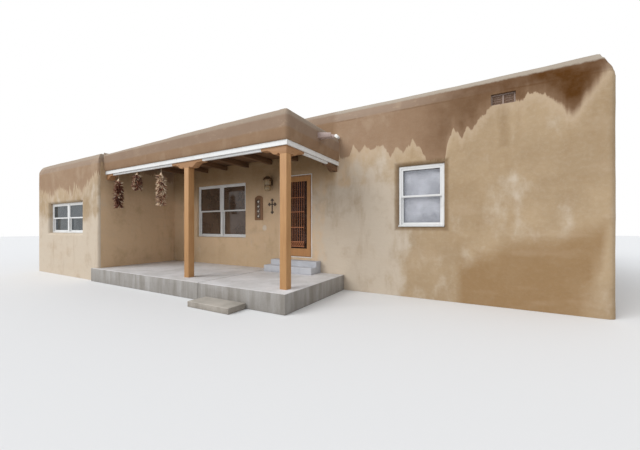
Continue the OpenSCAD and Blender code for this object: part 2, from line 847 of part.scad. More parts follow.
module screen_door() {
    open_w = leaf_w - 2 * screen_stile;
    open_h = leaf_h - screen_top - screen_foot;
    grille_w = open_w - strip_gap;
    pitch = grille_w / spindle_count;
    color(cedar) {
        leaf_place(0) {
            difference() {
                cube([leaf_w, screen_t, leaf_h]);
                translate([screen_stile, -1, screen_foot]) cube([open_w, screen_t + 2, open_h]);
            }
            translate([screen_stile, spindle_d / 2 + 2, screen_foot]) {
                for (i = [1:spindle_count])
                    translate([i * pitch, 0, 0]) spindle(open_h);
                for (z = rail_shares * open_h)
                    translate([0, -grille_t / 2, z - grille_rail / 2])
                        cube([grille_w + spindle_d / 2, grille_t, grille_rail]);
                for (i = [0:spindle_count - 1]) translate([i * pitch, 0, rail_shares[0] * open_h])
                    brace(pitch, (rail_shares[1] - rail_shares[0]) * open_h);
            }
        }
        screen_hinge_place() hinge_halves(-1);
    }
}

module screen_door_glass() {
    color(pane) leaf_place(screen_t - 12) translate([screen_stile, 0, screen_foot])
        cube([leaf_w - 2 * screen_stile, glass_t, leaf_h - screen_top - screen_foot]);
}

// Plank door with two sunk panels on each face
module entry_door() {
    color([0.34, 0.14, 0.11]) {
        leaf_place(jamb_d - entry_t) difference() {
            cube([leaf_w, entry_t, leaf_h]);
            for (z = [entry_rail, entry_rail * 2 + panel_h], y = [-1, entry_t - panel_in])
                translate([entry_rail, y, z])
                    cube([leaf_w - 2 * entry_rail, panel_in + 1, panel_h]);
        }
        entry_hinge_place() hinge_halves(-1);
    }
}

// Knob on a stem, growing along -Y from a door face
module door_knob() {
    rotate([90, 0, 0]) rotate_extrude()
        polygon([[0, 0], [26, 0], [26, 5], [9, 9], [9, 20], [20, 26], [25, 35], [20, 44], [0, 47]]);
}
module screen_door_handle() {
    color(iron) leaf_place(0) translate([screen_stile / 2, 0, handle_z]) door_knob();
}
module entry_door_handle() {
    color(iron) {
        leaf_place(jamb_d - entry_t) translate([entry_rail / 2, 0, handle_z]) door_knob();
        leaf_place(jamb_d) translate([entry_rail / 2, 0, handle_z]) mirror([0, 1, 0]) door_knob();
    }
}

// Vent frame with its middle bar and sloping blades
module wall_vent() {
    blades = 4;
    color(iron) translate([x_vent, y_wall + vent_in, vent_z]) {
        difference() {
            cube([vent_w, vent_d, vent_h]);
            translate([vent_rim, -1, vent_rim]) cube([vent_w - 2 * vent_rim, vent_d + 2, vent_h - 2 * vent_rim]);
        }
        translate([(vent_w - vent_rim) / 2, 0, 0]) cube([vent_rim, vent_d, vent_h]);
        for (i = [1:blades]) translate([0, 0, i * vent_h / (blades + 1)])
            rotate([90, 0, 90]) linear_extrude(vent_w) polygon([[4, -10], [4, -6], [vent_d - 4, 16], [vent_d - 4, 12]]);
    }
}

// Open trough: y = 0 is the wall face, the water runs to -Y and a little down
module spout(inside) {
    tip = -spout_reach;
    drop = spout_h / 6;
    color([0.62, 0.52, 0.49]) translate([-spout_w / 2, 0, 0]) rotate([90, 0, 90]) difference() {
        linear_extrude(spout_w)
            polygon([[inside, 0], [0, 0], [tip, -drop], [tip, spout_h * 0.55], [0, spout_h], [inside, spout_h]]);
        translate([0, 0, spout_t]) linear_extrude(spout_w - 2 * spout_t)
            polygon([[inside + 1, spout_t], [0, spout_t], [tip - 1, spout_t - drop], [tip - 1, spout_h + 1],
                [inside + 1, spout_h + 1]]);
    }
}
module porch_spout() { porch_spout_place() spout(rim_t); }
module back_spouts() { back_spout_places() spout(wall_t); }

// Security light on the main wall, just above the end of the porch parapet
module floodlight() {
    color(white_trim) translate([x_parapet - light_in, y_wall, light_z]) {
        rotate([90, 0, 0]) cylinder(24, r = light_r * 0.8, $fn = 32);
        translate([0, -20, 0]) rotate([92, 0, 0]) cylinder(95, r1 = light_r * 0.6, r2 = light_r, $fn = 32);
        translate([0, -20, -light_r * 0.6]) rotate([100, 0, 0]) cylinder(58, r = light_r * 0.33, $fn = 24);
    }
}

// Lantern: plate and arm on the wall, and a round banded body under a domed cap
module wall_lantern() {
    r = lantern_d / 2;
    h = lantern_h;
    color(iron) translate([x_lantern, y_wall, lantern_z]) {
        translate([-45, -12, h * 0.4]) cube([90, 12, h * 0.4]);
        translate([0, 0, h * 0.57]) rotate([90, 0, 0]) cylinder(lantern_reach - 20, r = 9, $fn = 16);
        translate([0, -lantern_reach, 0]) rotate_extrude()
            polygon([[0, 0], [r * 0.42, 0], [r * 0.64, h * 0.04], [r * 0.74, h * 0.11], [r * 0.76, h * 0.19],
                [r * 0.71, h * 0.31], [r * 0.78, h * 0.33], [r * 0.78, h * 0.37], [r * 0.71, h * 0.39],
                [r * 0.75, h * 0.48], [r * 0.75, h * 0.66], [r * 0.97, h * 0.68], [r, h * 0.73],
                [r * 0.94, h * 0.82], [r * 0.78, h * 0.9], [r * 0.5, h * 0.96], [0, h]]);
    }
}

// Board with an arched head and four raised tiles
module number_plaque() {
    arch_r = plaque_w * 0.62;
    tile = plaque_w * 0.46;
    color(cedar) translate([x_plaque, y_wall, plaque_z]) rotate([90, 0, 0]) {
        linear_extrude(plaque_t) {
            square([plaque_w, plaque_h - arch_r]);
            intersection() {
                translate([plaque_w / 2, plaque_h - arch_r]) circle(arch_r, $fn = 48);
                translate([0, plaque_h - arch_r - 1]) square([plaque_w, arch_r + 2]);
            }
        }
        for (i = [0:3]) translate([(plaque_w - tile) / 2, 45 + i * (tile + 8), 0])
            cube([tile, tile, plaque_t + 7]);
    }
}

// Cross with three-lobed ends, just off the wall on its stem
module wall_cross() {
    bar = cross_w * 0.11;
    lobe = bar * 0.72;
    mid = cross_h * 0.62;
    color(iron) translate([x_cross, y_wall, cross_z]) rotate([90, 0, 0]) linear_extrude(cross_t) {
        translate([(cross_w - bar) / 2, lobe]) square([bar, cross_h - 2 * lobe]);
        translate([lobe, mid - bar / 2]) square([cross_w - 2 * lobe, bar]);
        for (p = [[cross_w / 2, lobe, 0], [cross_w / 2, cross_h - lobe, 180], [lobe, mid, 270],
                [cross_w - lobe, mid, 90]])
            translate([p[0], p[1]]) rotate(p[2]) {
                circle(lobe, $fn = 20);
                for (s = [-1, 1]) translate([s * lobe * 1.15, lobe * 1.1]) circle(lobe, $fn = 20);
            }
    }
}

// String of dried chillies in tiers, on a wire of the given length under the front beam
module ristra(x, wire, h) {
    d = ristra_d;
    z = beam_z - wire - h;
    tiers = round(h / 70);
    step = h / tiers;
    color([0.42, 0.12, 0.10]) translate([x, y_post + post_w / 2, 0]) {
        translate([0, 0, z]) rotate_extrude()
            polygon(concat([[0, 0]],
                [for (i = [0:tiers - 1], lip = [0, 1])
                    let (s = (i + lip * 0.85) / tiers, e = d / 2 * (0.42 + 0.58 * pow(sin(25 + 130 * s), 0.8)))
                        [e * (1 - 0.16 * lip), (i + lip * 0.85) * step]],
                [[d * 0.1, h], [0, h]]));
        translate([0, 0, z + h - 5]) cylinder(wire + 5, r = 4, $fn = 16);
    }
}
module ristra_left() { ristra(x_wing + ristra_first, ristra_wire, ristra_long); }
module ristra_middle() { ristra(x_wing + ristra_first + ristra_gaps[0], ristra_wire / 2, ristra_short); }
module ristra_right() {
    ristra(x_wing + ristra_first + ristra_gaps[0] + ristra_gaps[1], ristra_wire, ristra_long);
}

front_wall_left();
front_wall_right();
front_wall_over_door();
door_sill_wall();
front_wall_over_wing();
wing_sill_wall();
right_wall();
back_wall();
left_wall();
wing_front_wall();
wing_left_wall();
wing_right_wall();
wing_header_beam();
main_floor();
wing_floor();
main_ceiling();
main_roof();
wing_roof();
porch_slab();
door_steps();
front_step_block();
corner_post();
middle_post();
corner_corbel();
middle_corbel();
wing_wall_corbel();
main_wall_corbel();
porch_front_beam();
porch_side_beam();
porch_rafters();
porch_roof_deck();
porch_parapet();
porch_fascia();
porch_window_frame();
porch_window_glass();
right_window_frame();
right_window_glass();
wing_window_frame();
wing_window_glass();
rear_window_frames();
rear_window_glass();
door_frame();
screen_door();
screen_door_glass();
screen_door_handle();
entry_door();
entry_door_handle();
wall_vent();
porch_spout();
back_spouts();
floodlight();
wall_lantern();
number_plaque();
wall_cross();
ristra_left();
ristra_middle();
ristra_right();
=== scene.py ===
"""Adobe house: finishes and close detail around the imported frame."""
import logging
import math
import random
from contextlib import contextmanager
from dataclasses import dataclass, field
from enum import Enum
from functools import lru_cache
from typing import Callable, Iterator, NamedTuple, Sequence

import bmesh
import bpy
from mathutils import Matrix, Vector


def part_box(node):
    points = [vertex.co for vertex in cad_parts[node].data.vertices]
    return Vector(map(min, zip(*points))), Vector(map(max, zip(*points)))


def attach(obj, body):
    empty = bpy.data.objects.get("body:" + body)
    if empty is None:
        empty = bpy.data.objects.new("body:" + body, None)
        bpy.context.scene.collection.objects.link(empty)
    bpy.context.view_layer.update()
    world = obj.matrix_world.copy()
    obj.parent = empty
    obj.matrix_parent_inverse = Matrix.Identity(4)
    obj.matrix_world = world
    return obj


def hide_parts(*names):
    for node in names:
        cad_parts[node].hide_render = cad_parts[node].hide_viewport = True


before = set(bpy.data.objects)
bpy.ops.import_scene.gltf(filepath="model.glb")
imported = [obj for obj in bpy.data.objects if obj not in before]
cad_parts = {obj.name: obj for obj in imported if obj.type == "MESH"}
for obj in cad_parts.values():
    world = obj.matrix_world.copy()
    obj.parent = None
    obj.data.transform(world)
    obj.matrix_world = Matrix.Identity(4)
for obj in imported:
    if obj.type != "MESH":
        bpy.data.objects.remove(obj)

LOG = logging.getLogger("adobe_house")
HOUSE = "house"
SCREEN = "screen_door"
ENTRY = "entry_door"
Colour = tuple[float, float, float]
Point = tuple[float, float, float]
Line = tuple[tuple[float, float], ...]
Object = bpy.types.Object
Material = bpy.types.Material


@lru_cache(maxsize=None)
def low(node: str) -> Vector:
    """Lowest corner of a node of the frame."""
    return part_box(node)[0]


@lru_cache(maxsize=None)
def high(node: str) -> Vector:
    """Highest corner of a node of the frame."""
    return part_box(node)[1]


def clip(number: float) -> float:
    """Return a number kept between 0 and 1."""
    return max(0.0, min(1.0, number))


def ease(number: float) -> float:
    """Return a smooth rise from 0 to 1 while a number goes from 0 to 1."""
    share = clip(number)
    return share * share * (3 - 2 * share)


def dim(colour: Colour, share: float) -> Colour:
    """Return a colour at a share of its strength."""
    return tuple(share * channel for channel in colour)


def profile(x: float, stops: Line) -> float:
    """Return a number read off a line through stops of place and number.

    Args:
        x: the place.
        stops: pairs of place and number.

    Returns:
        The number.
    """
    for (x0, first), (x1, last) in zip(stops, stops[1:]):
        if x <= x1:
            return first + max(0.0, (x - x0) / (x1 - x0)) * (last - first)
    return stops[-1][1]


class Axis(Enum):
    """Direction in which a board or a bar runs."""

    X = 0
    Y = 1
    Z = 2


class Value:
    """A number that changes over a surface, for use in expressions."""

    def __init__(self, sheet: "NodeSheet", socket: bpy.types.NodeSocket) -> None:
        """Wrap an output socket of a sheet of shader nodes."""
        self.sheet = sheet
        self.socket = socket

    def math(self, operation: str, *others: "Value | float", clamp: bool = False) -> "Value":
        """Return the result of a Math node that starts from this value.

        Args:
            operation: the node's operation.
            others: the values of its other inputs.
            clamp: whether the result stays between 0 and 1.
        """
        inputs = dict(enumerate((self, *others)))
        return self.sheet.out("Math", {"operation": operation, "use_clamp": clamp}, inputs)

    def __add__(self, other: "Value | float") -> "Value":
        """Add."""
        return self.math("ADD", other)

    __radd__ = __add__

    def __sub__(self, other: "Value | float") -> "Value":
        """Subtract."""
        return self.math("SUBTRACT", other)

    def __rsub__(self, other: float) -> "Value":
        """Subtract this value from a number."""
        return self.sheet.out("Math", {"operation": "SUBTRACT"}, {0: other, 1: self})

    def __mul__(self, other: "Value | float") -> "Value":
        """Multiply."""
        return self.math("MULTIPLY", other)

    __rmul__ = __mul__

    def clamp(self) -> "Value":
        """Keep the value between 0 and 1."""
        return self.math("ADD", 0.0, clamp=True)

    def step(self, start: float, end: float) -> "Value":
        """Return a smooth step from 0 at start to 1 at end.

        Args:
            start: where the step begins.
            end: where the step is complete; below start it falls.

        Returns:
            The step.
        """
        settings = {"interpolation_type": "SMOOTHSTEP"}
        if start < end:
            return self.sheet.out("MapRange", settings, {"Value": self, "From Min": start, "From Max": end})
        return 1.0 - self.sheet.out("MapRange", settings, {"Value": self, "From Min": end, "From Max": start})


class NodeSheet:
    """The shader nodes of one material, or of the world."""

    def __init__(self, name: str, owner: bpy.types.World | None = None) -> None:
        """Clear the nodes of a new material with the given name, or of a world.

        Args:
            name: name of the material.
            owner: the world, if the nodes are its own.
        """
        self.owner = owner or bpy.data.materials.new(name)
        self.owner.use_nodes = True
        self.tree = self.owner.node_tree
        self.tree.nodes.clear()

    def node(self, kind: str, settings: dict | None = None, inputs: dict | None = None) -> bpy.types.Node:
        """Add a node, with its settings first and then the values or links of its sockets.

        Args:
            kind: the node's type after ShaderNode.
            settings: attributes of the node; stops gives a ramp's places and colours.
            inputs: socket names or numbers with a value, a colour or a link.

        Returns:
            The new node.
        """
        made = self.tree.nodes.new("ShaderNode" + kind)
        for key, value in (settings or {}).items():
            if key == "stops":
                self._ramp(made.color_ramp, value)
            else:
                setattr(made, key, value)
        for key, value in (inputs or {}).items():
            socket = made.inputs[key]
            if isinstance(value, Value):
                self.tree.links.new(value.socket, socket)
            elif isinstance(value, tuple) and socket.type == "RGBA":
                socket.default_value = (*value[:3], 1.0)
            else:
                socket.default_value = value
        return made

    @staticmethod
    def _ramp(ramp: bpy.types.ColorRamp, stops: Sequence[tuple[float, Colour]]) -> None:
        """Set the stops of a colour ramp.

        Args:
            ramp: the ramp.
            stops: its places and colours.
        """
        while len(ramp.elements) < len(stops):
            ramp.elements.new(0.5)
        for element, (place, colour) in zip(ramp.elements, stops):
            element.position = place
            element.color = (*colour, 1.0)

    def out(self, kind: str, settings: dict | None = None, inputs: dict | None = None,
            output: str | int = 0) -> Value:
        """Add a node and return one of its outputs."""
        return Value(self, self.node(kind, settings, inputs).outputs[output])

    def place(self, scale: Point = (1.0, 1.0, 1.0)) -> Value:
        """Return the place on the object, stretched by a scale."""
        coords = self.out("TexCoord", output="Object")
        return self.out("Mapping", None, {"Vector": coords, "Scale": scale})

    def noise(self, scale: float, detail: float = 3.0, rough: float = 0.5, stretch: Point = (1.0, 1.0, 1.0)) -> Value:
        """Return noise of about 0.3 to 0.7 over the object.

        Args:
            scale: features for each metre.
            detail: finer layers.
            rough: strength of those layers.
            stretch: scale along each axis.
        """
        return self.out("TexNoise", None, {"Vector": self.place(stretch), "Scale": scale, "Detail": detail,
                                           "Roughness": rough})

    def wander(self, along: Value, scale: float, detail: float = 2.0, rough: float = 0.6) -> Value:
        """Return noise along one coordinate."""
        return self.out("TexNoise", {"noise_dimensions": "1D"}, {"W": along, "Scale": scale, "Detail": detail,
                                                               "Roughness": rough})

    def attribute(self, name: str) -> Value:
        """Return a number stored on the mesh."""
        return self.out("Attribute", {"attribute_name": name}, output="Fac")

    def mix(self, factor: Value | float, first: Value | Colour, second: Value | Colour, blend: str = "MIX") -> Value:
        """Return a blend of two colours."""
        return self.out("Mix", {"data_type": "RGBA", "blend_type": blend}, {0: factor, 6: first, 7: second}, 2)

    def layers(self, base: Value | Colour, *coats: tuple[Value | float, Colour]) -> Value:
        """Return a base with coats laid over it in turn, each a share and a colour.

        Args:
            base: the colour beneath.
            coats: how far each coat covers, and its colour.

        Returns:
            The colour.
        """
        for share, colour in coats:
            base = self.mix(share, base, colour)
        return base

    def parts(self, vector: Value | None = None) -> tuple[Value, ...]:
        """Return the three numbers of a vector, or of the place on the object."""
        split = self.node("SeparateXYZ", None, {0: vector or self.place()})
        return tuple(Value(self, output) for output in split.outputs)

    def ramp(self, factor: Value, stops: Sequence[tuple[float, Colour]]) -> Value:
        """Return a colour from a ramp."""
        return self.out("ValToRGB", {"stops": stops}, {"Fac": factor})

    def curve(self, along: Value, line: Line, top: float = 2.0) -> Value:
        """Return a number read off a straight-sided line.

        Args:
            along: where it is read.
            line: pairs of place and number.
            top: a number above all of the line's.

        Returns:
            The number.
        """
        first, last = line[0][0], line[-1][0]
        node = self.node("FloatCurve", None, {"Value": (along - first) * (1.0 / (last - first))})
        points = node.mapping.curves[0].points
        points[0].location = (0.0, line[0][1] / top)
        points[1].location = (1.0, line[-1][1] / top)
        for place, number in line[1:-1]:
            points.new((place - first) / (last - first), number / top)
        for point in points:
            point.handle_type = "VECTOR"
        node.mapping.update()
        return Value(self, node.outputs[0]) * top

    def outside(self, across: Value, up: Value, start: Vector, end: Vector) -> Value:
        """Return the distance from an upright box, seen square on.

        Args:
            across: the place along the front.
            up: the height.
            start: lowest corner of the box.
            end: highest corner of the box.

        Returns:
            The distance in metres, below 0 inside.
        """
        beside = (across - (start.x + end.x) / 2).math("ABSOLUTE") - (end.x - start.x) / 2
        above = (up - (start.z + end.z) / 2).math("ABSOLUTE") - (end.z - start.z) / 2
        return beside.math("MAXIMUM", above)

    def surface(self, inputs: dict, height: Value | None = None, strength: float = 0.3,
                distance: float = 0.01) -> Material:
        """Finish the material.

        Args:
            inputs: sockets of the surface shader.
            height: relief for the bump.
            strength: strength of the bump.
            distance: depth of the bump in metres.

        Returns:
            The material.
        """
        if height is not None:
            bump = {"Height": height, "Strength": strength, "Distance": distance}
            inputs = {**inputs, "Normal": self.out("Bump", None, bump)}
        shader = self.out("BsdfPrincipled", None, inputs)
        self.node("OutputMaterial", None, {"Surface": shader})
        return self.owner


@dataclass(frozen=True)
class MudPlaster:
    """Hand-trowelled mud plaster with a brown crown, toothed damp stains, pale halos and brown patches, with painted
    light beside and under the porch, painted shade near the porch roof, a painted shadow under the crown and a painted
    highlight along the tops.
    """

    name: str = "mud_plaster"
    tan: Colour = (0.365, 0.262, 0.158)
    sand: Colour = (0.43, 0.315, 0.195)
    pale: Colour = (0.57, 0.485, 0.385)
    # A warm pale colour laid on as painted light beside and under the porch.
    painted_light: Colour = (0.69, 0.495, 0.315)
    halo: Colour = (0.50, 0.38, 0.265)
    warm: Colour = (0.295, 0.186, 0.092)
    crown: Colour = (0.335, 0.25, 0.19)
    damp: Colour = (0.315, 0.202, 0.126)
    wet: Colour = (0.085, 0.031, 0.004)
    # Colour of the painted highlight along the lit rounded tops of the parapets.
    top_highlight: Colour = (0.40, 0.345, 0.28)
    dust: Colour = (0.60, 0.51, 0.42)
    daub: Colour = (0.70, 0.64, 0.56)
    right_edge: Line = (
        (2.5, 1.2), (2.88, 1.12), (2.98, 0.86), (3.12, 1.07), (3.26, 0.92), (3.42, 1.05), (3.57, 0.97), (3.7, 1.0),
        (3.85, 1.25), (3.97, 1.03), (4.11, 1.19), (4.3, 0.96), (4.45, 1.13), (4.58, 1.4), (4.92, 1.44), (4.97, 1.1),
        (5.07, 0.83), (5.22, 1.04), (5.32, 0.84), (5.4, 0.91), (5.53, 0.71), (5.69, 0.59), (5.72, 0.49), (6.1, 0.5),
        (6.18, 0.54), (6.27, 0.4), (6.48, 0.47), (6.58, 0.56), (6.70, 0.69), (6.80, 0.85), (6.89, 0.92), (6.96, 0.8),
        (7.09, 0.59), (7.21, 0.44), (7.35, 0.2))
    wing_edge: Line = (
        (-7.6, 0.7), (-7.29, 0.75), (-6.9, 0.85), (-6.29, 1.0), (-6.1, 0.85), (-5.79, 0.74), (-5.45, 0.88),
        (-5.25, 0.92), (-5.1, 0.85), (-4.99, 1.06), (-4.87, 0.77), (-4.6, 0.85), (-4.38, 0.97), (-4.12, 0.77),
        (-3.92, 0.67), (-3.59, 0.51), (-3.3, 0.5))
    patch_at: Point = (0.38, -3.2755, 1.44)
    patch_size: float = 0.075

    def build(self) -> Material:
        """Build the material.

        Returns:
            The material.
        """
        sheet = NodeSheet(self.name)
        drop, right, wing, pale, painted_light, brown, wet = (
            sheet.attribute(name) for name in ("drop", "right", "wing", "pale", "painted_light", "brown", "wet"))
        across, inward, up = sheet.parts()
        mottle = sheet.noise(0.8, 4.0, 0.6)
        patch = sheet.noise(2.3, 5.0, 0.62)
        uneven = patch - 0.5
        wash = sheet.noise(1.5, 3.0, 0.55, (1.0, 1.0, 0.45))
        fine = sheet.noise(15.0, 4.0, 0.65)
        streaks = sheet.noise(3.0, 5.0, 0.68, (1.0, 1.0, 0.22)).step(0.52, 0.74)
        courses = sheet.noise(1.6, 2.0, 0.6, (0.5, 0.5, 2.0)).step(0.54, 0.72)
        scuffs = sheet.noise(6.0, 5.0, 0.72, (1.0, 1.0, 2.0)).step(0.57, 0.68)
        blots = (wash - 0.5) * 1.3 + (sheet.noise(3.4, 4.0, 0.6, (1.0, 1.0, 0.6)) - 0.5) * 1.4
        edge = self.edge(sheet, across, across + inward, right, wing, fine)
        soft = across.step(6.45, 7.1) * right * 0.16
        damp = (edge - drop).math("DIVIDE", soft + 0.03).step(-0.4, 1.0)
        halo = (drop - edge).step(0.30, 0.0) * (0.45 + 0.6 * wash) * (1.0 - brown)
        crown = (sheet.attribute("crown_depth") + uneven * 0.06 - drop).step(-0.03, 0.03)
        # Painted shadow: a thin dark line under the lip of the crown on the right wall.
        painted_ledge_shadow = (drop - 0.275 + uneven * 0.06).math("ABSOLUTE").step(0.022, 0.004) * right
        stain = damp.math("MAXIMUM", crown * 0.8)
        soak = stain * wet * (0.62 + (edge - drop).step(0.0, 0.35) * 0.3 + uneven * 0.9)
        # Painted highlight: a paler strip along the lit rounded tops of the parapets, strongest over the right wall.
        arris = (drop + (fine - 0.5) * 0.03).step(0.115, 0.085) * (0.45 + 0.45 * right)
        # A brown band round the right window, partly the plaster's own colour and partly painted shade in its reveal.
        frame_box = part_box("right_window_frame")
        reveal_brown_and_shade = (sheet.outside(across, up, *frame_box) + uneven * 0.06).step(0.11, 0.04) * right
        far = sheet.out("VectorMath", {"operation": "DISTANCE"}, {0: sheet.place(), 1: self.patch_at}, "Value")
        daub = (far + (fine - 0.5) * 0.06).step(self.patch_size + 0.02, self.patch_size - 0.03)
        colour = sheet.layers(
            sheet.mix(mottle.step(0.36, 0.64), self.tan, self.sand),
            # Painted light: a warm pale coat where the walls beside and under the porch take more light.
            ((painted_light * (0.75 + wash * 0.4)).clamp(), self.painted_light),
            ((pale * 1.2 + blots).step(0.25, 0.95) * 0.95, self.pale),
            # The brown coat is partly real brown patches and stains, and partly painted shade near the porch roof.
            ((patch.step(0.5, 0.72) * 0.25 + brown * (0.45 + wash)).clamp(), self.warm),
            (streaks * 0.30, self.warm),
            (courses * 0.18, self.halo),
            (self.vent_run(sheet, across, up, patch) * right, dim(self.warm, 0.8)),
            ((halo * 0.75).clamp(), self.halo),
            (damp * (0.88 - 0.08 * wing + 0.5 * uneven), self.damp),
            (crown * (0.85 - 0.5 * wet), self.crown),
            (damp * blots.step(0.02, 0.34) * (0.3 - 0.25 * wet), self.halo),
            (scuffs * (crown * 0.4 + 0.08) * (1.0 - 0.8 * wet), self.halo),
            (painted_ledge_shadow * 0.3 * mottle.step(0.42, 0.6), self.wet),
            (soak.clamp(), self.wet),
            (arris * (0.75 + 0.5 * patch), self.top_highlight),
            (reveal_brown_and_shade * 0.75, dim(self.warm, 0.62)),
            (fine.step(0.42, 0.72) * 0.1 * (1.0 - 0.85 * damp) * (1.0 - 0.6 * brown), self.dust),
            (daub * 0.6, self.daub))
        trowel = sheet.noise(4.2, 3.0, 0.5, (1.0, 1.0, 1.5))
        grit = sheet.noise(75.0, 4.0, 0.7)
        height = trowel * 0.7 + (fine * 0.4 + grit * 0.12) * (1.0 - 0.6 * crown)
        inputs = {"Base Color": colour, "Roughness": 0.93 - 0.12 * damp, "Specular IOR Level": 0.12}
        return sheet.surface(inputs, height, 0.6, 0.02)

    @staticmethod
    def vent_run(sheet: NodeSheet, across: Value, up: Value, patch: Value) -> Value:
        """Return how strongly a run of dirt below the vent shows.

        Args:
            sheet: the material's nodes.
            across: the place along the front.
            up: the height.
            patch: noise that makes its sides uneven.

        Returns:
            A share that fades to 0 away from the run.
        """
        start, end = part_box("wall_vent")
        middle = (start.x + end.x) / 2
        below = Vector((middle - 0.02, start.y, start.z - 0.75)), Vector((middle + 0.03, end.y, start.z))
        return (sheet.outside(across, up, *below) + (patch - 0.5) * 0.14).step(0.10, -0.01) * 0.38

    def edge(self, sheet: NodeSheet, across: Value, along: Value, right: Value, wing: Value, fine: Value) -> Value:
        """Return how far below the parapet the damp ends, with its teeth.

        Args:
            sheet: the material's nodes.
            across: the place along the front.
            along: a place that also changes round the corners.
            right: 1 on the main front right of the porch.
            wing: 1 on the front of the wing.
            fine: fine noise for the fringe.

        Returns:
            The depth in metres.
        """
        teeth = sheet.wander(along, 3.1, 3.0, 0.7)
        runs = sheet.wander(along, 14.0, 2.0, 0.6)
        swell = sheet.wander(along, 0.7, 1.0, 0.5)
        loose = sheet.attribute("damp_depth") + (swell - 0.5) * 1.1 + (teeth - 0.5) * 0.8 + (runs - 0.5) * 0.22
        known = sheet.curve(across, self.right_edge) * right + sheet.curve(across, self.wing_edge) * wing
        return known + (1.0 - right - wing) * loose + (runs - 0.5) * (0.14 + 0.5 * wing) + (fine - 0.5) * 0.10


@dataclass(frozen=True)
class CastConcrete:
    """Trowelled concrete with stains and fine grit, its upright sides darkened partly by streaky stain and partly as
    painted shade.
    """

    name: str
    pale: Colour
    dark: Colour
    stain: Colour
    sides: float
    grit: Colour = (0.75, 0.73, 0.70)

    def build(self) -> Material:
        """Build the material.

        Returns:
            The material.
        """
        sheet = NodeSheet(self.name)
        cloud = sheet.noise(1.7, 4.0, 0.6)
        blot = sheet.noise(5.5, 5.0, 0.65)
        grit = sheet.noise(140.0, 2.0, 0.7)
        runs = sheet.noise(5.0, 3.0, 0.6, (1.0, 1.0, 0.15))
        foot = sheet.parts()[2].step(0.34, 0.0)
        upright = sheet.parts(sheet.out("NewGeometry", output="Normal"))[2].step(0.8, 0.4)
        colour = sheet.layers(
            sheet.mix(cloud.step(0.36, 0.64), self.dark, self.pale),
            (blot.step(0.55, 0.8) * 0.35, self.stain),
            # Upright faces darken by the share in sides: streaky stain, and painted shade that keeps them darker than
            # the lit top.
            (upright * self.sides * (0.8 + (runs - 0.5) * 0.9), self.stain),
            (upright * foot * blot.step(0.3, 0.65) * 0.4, self.stain),
            (grit.step(0.4, 0.75) * 0.12, self.grit))
        return sheet.surface({"Base Color": colour, "Roughness": 0.82 - 0.18 * cloud}, blot * 0.5 + grit * 0.25,
                             0.3, 0.006)


@dataclass(frozen=True)
class SawnTimber:
    """Finished timber with its grain along one axis, and a few knots."""

    name: str
    axis: Axis
    light: Colour
    dark: Colour
    rough: float = 0.55

    def drawn_out(self, share: float) -> Point:
        """Return a scale that stretches a pattern along the grain."""
        return tuple(share if axis is self.axis else 1.0 for axis in Axis)

    def build(self) -> Material:
        """Build the material.

        Returns:
            The material.
        """
        sheet = NodeSheet(self.name)
        bands = sheet.noise(22.0, 5.0, 0.6, self.drawn_out(0.06))
        lines = sheet.noise(150.0, 2.0, 0.6, self.drawn_out(0.02))
        tone = sheet.noise(1.9, 2.0, 0.5)
        cells = sheet.out("TexVoronoi", None, {"Vector": sheet.place(self.drawn_out(0.5)), "Scale": 5.5})
        colour = sheet.layers(
            sheet.ramp(bands, ((0.34, self.dark), (0.5, self.light), (0.66, self.dark))),
            (0.55, self.light),
            (lines.step(0.52, 0.7) * 0.35, self.dark),
            (tone.step(0.45, 0.7) * 0.3, self.dark),
            (cells.step(0.12, 0.03) * 0.75, dim(self.dark, 0.35)))
        return sheet.surface({"Base Color": colour, "Roughness": self.rough + 0.15 * lines},
                             bands * 0.5 + lines * 0.5, 0.25, 0.003)


@dataclass(frozen=True)
class Painted:
    """A coat of paint or a moulded surface with faint dirt and wear."""

    name: str
    colour: Colour
    dirt: Colour
    amount: float
    rough: float = 0.45
    relief: float = 0.1
    metal: float = 0.0

    def build(self) -> Material:
        """Build the material.

        Returns:
            The material.
        """
        sheet = NodeSheet(self.name)
        smear = sheet.noise(3.5, 4.0, 0.65)
        speck = sheet.noise(45.0, 3.0, 0.6)
        runs = sheet.noise(24.0, 3.0, 0.6, (1.0, 1.0, 0.12))
        colour = sheet.layers(
            sheet.mix(smear.step(0.45, 0.75) * self.amount, self.colour, self.dirt),
            (runs.step(0.55, 0.75) * self.amount * 0.6, self.dirt))
        inputs = {"Base Color": colour, "Roughness": self.rough + 0.2 * (smear - 0.5), "Metallic": self.metal}
        return sheet.surface(inputs, speck, self.relief, 0.002)


@dataclass(frozen=True)
class InsectMesh:
    """Fine wire mesh that lets some of the dark behind it through."""

    name: str = "insect_mesh"
    wire: Colour = (0.14, 0.078, 0.046)
    pitch: float = 0.006

    def build(self) -> Material:
        """Build the material.

        Returns:
            The material.
        """
        sheet = NodeSheet(self.name)
        across, _, up = sheet.parts()
        turn = math.tau / self.pitch
        wires = (across * turn).math("SINE").math("MAXIMUM", (up * turn).math("SINE"))
        dust = sheet.noise(9.0, 3.0, 0.6)
        colour = sheet.mix(dust.step(0.45, 0.7) * 0.5, self.wire, dim(self.wire, 0.6))
        inputs = {"Base Color": colour, "Roughness": 0.6, "Metallic": 0.2, "Alpha": 0.55 + 0.45 * wires.step(0.0, 0.6)}
        return sheet.surface(inputs, wires, 0.3, 0.001)


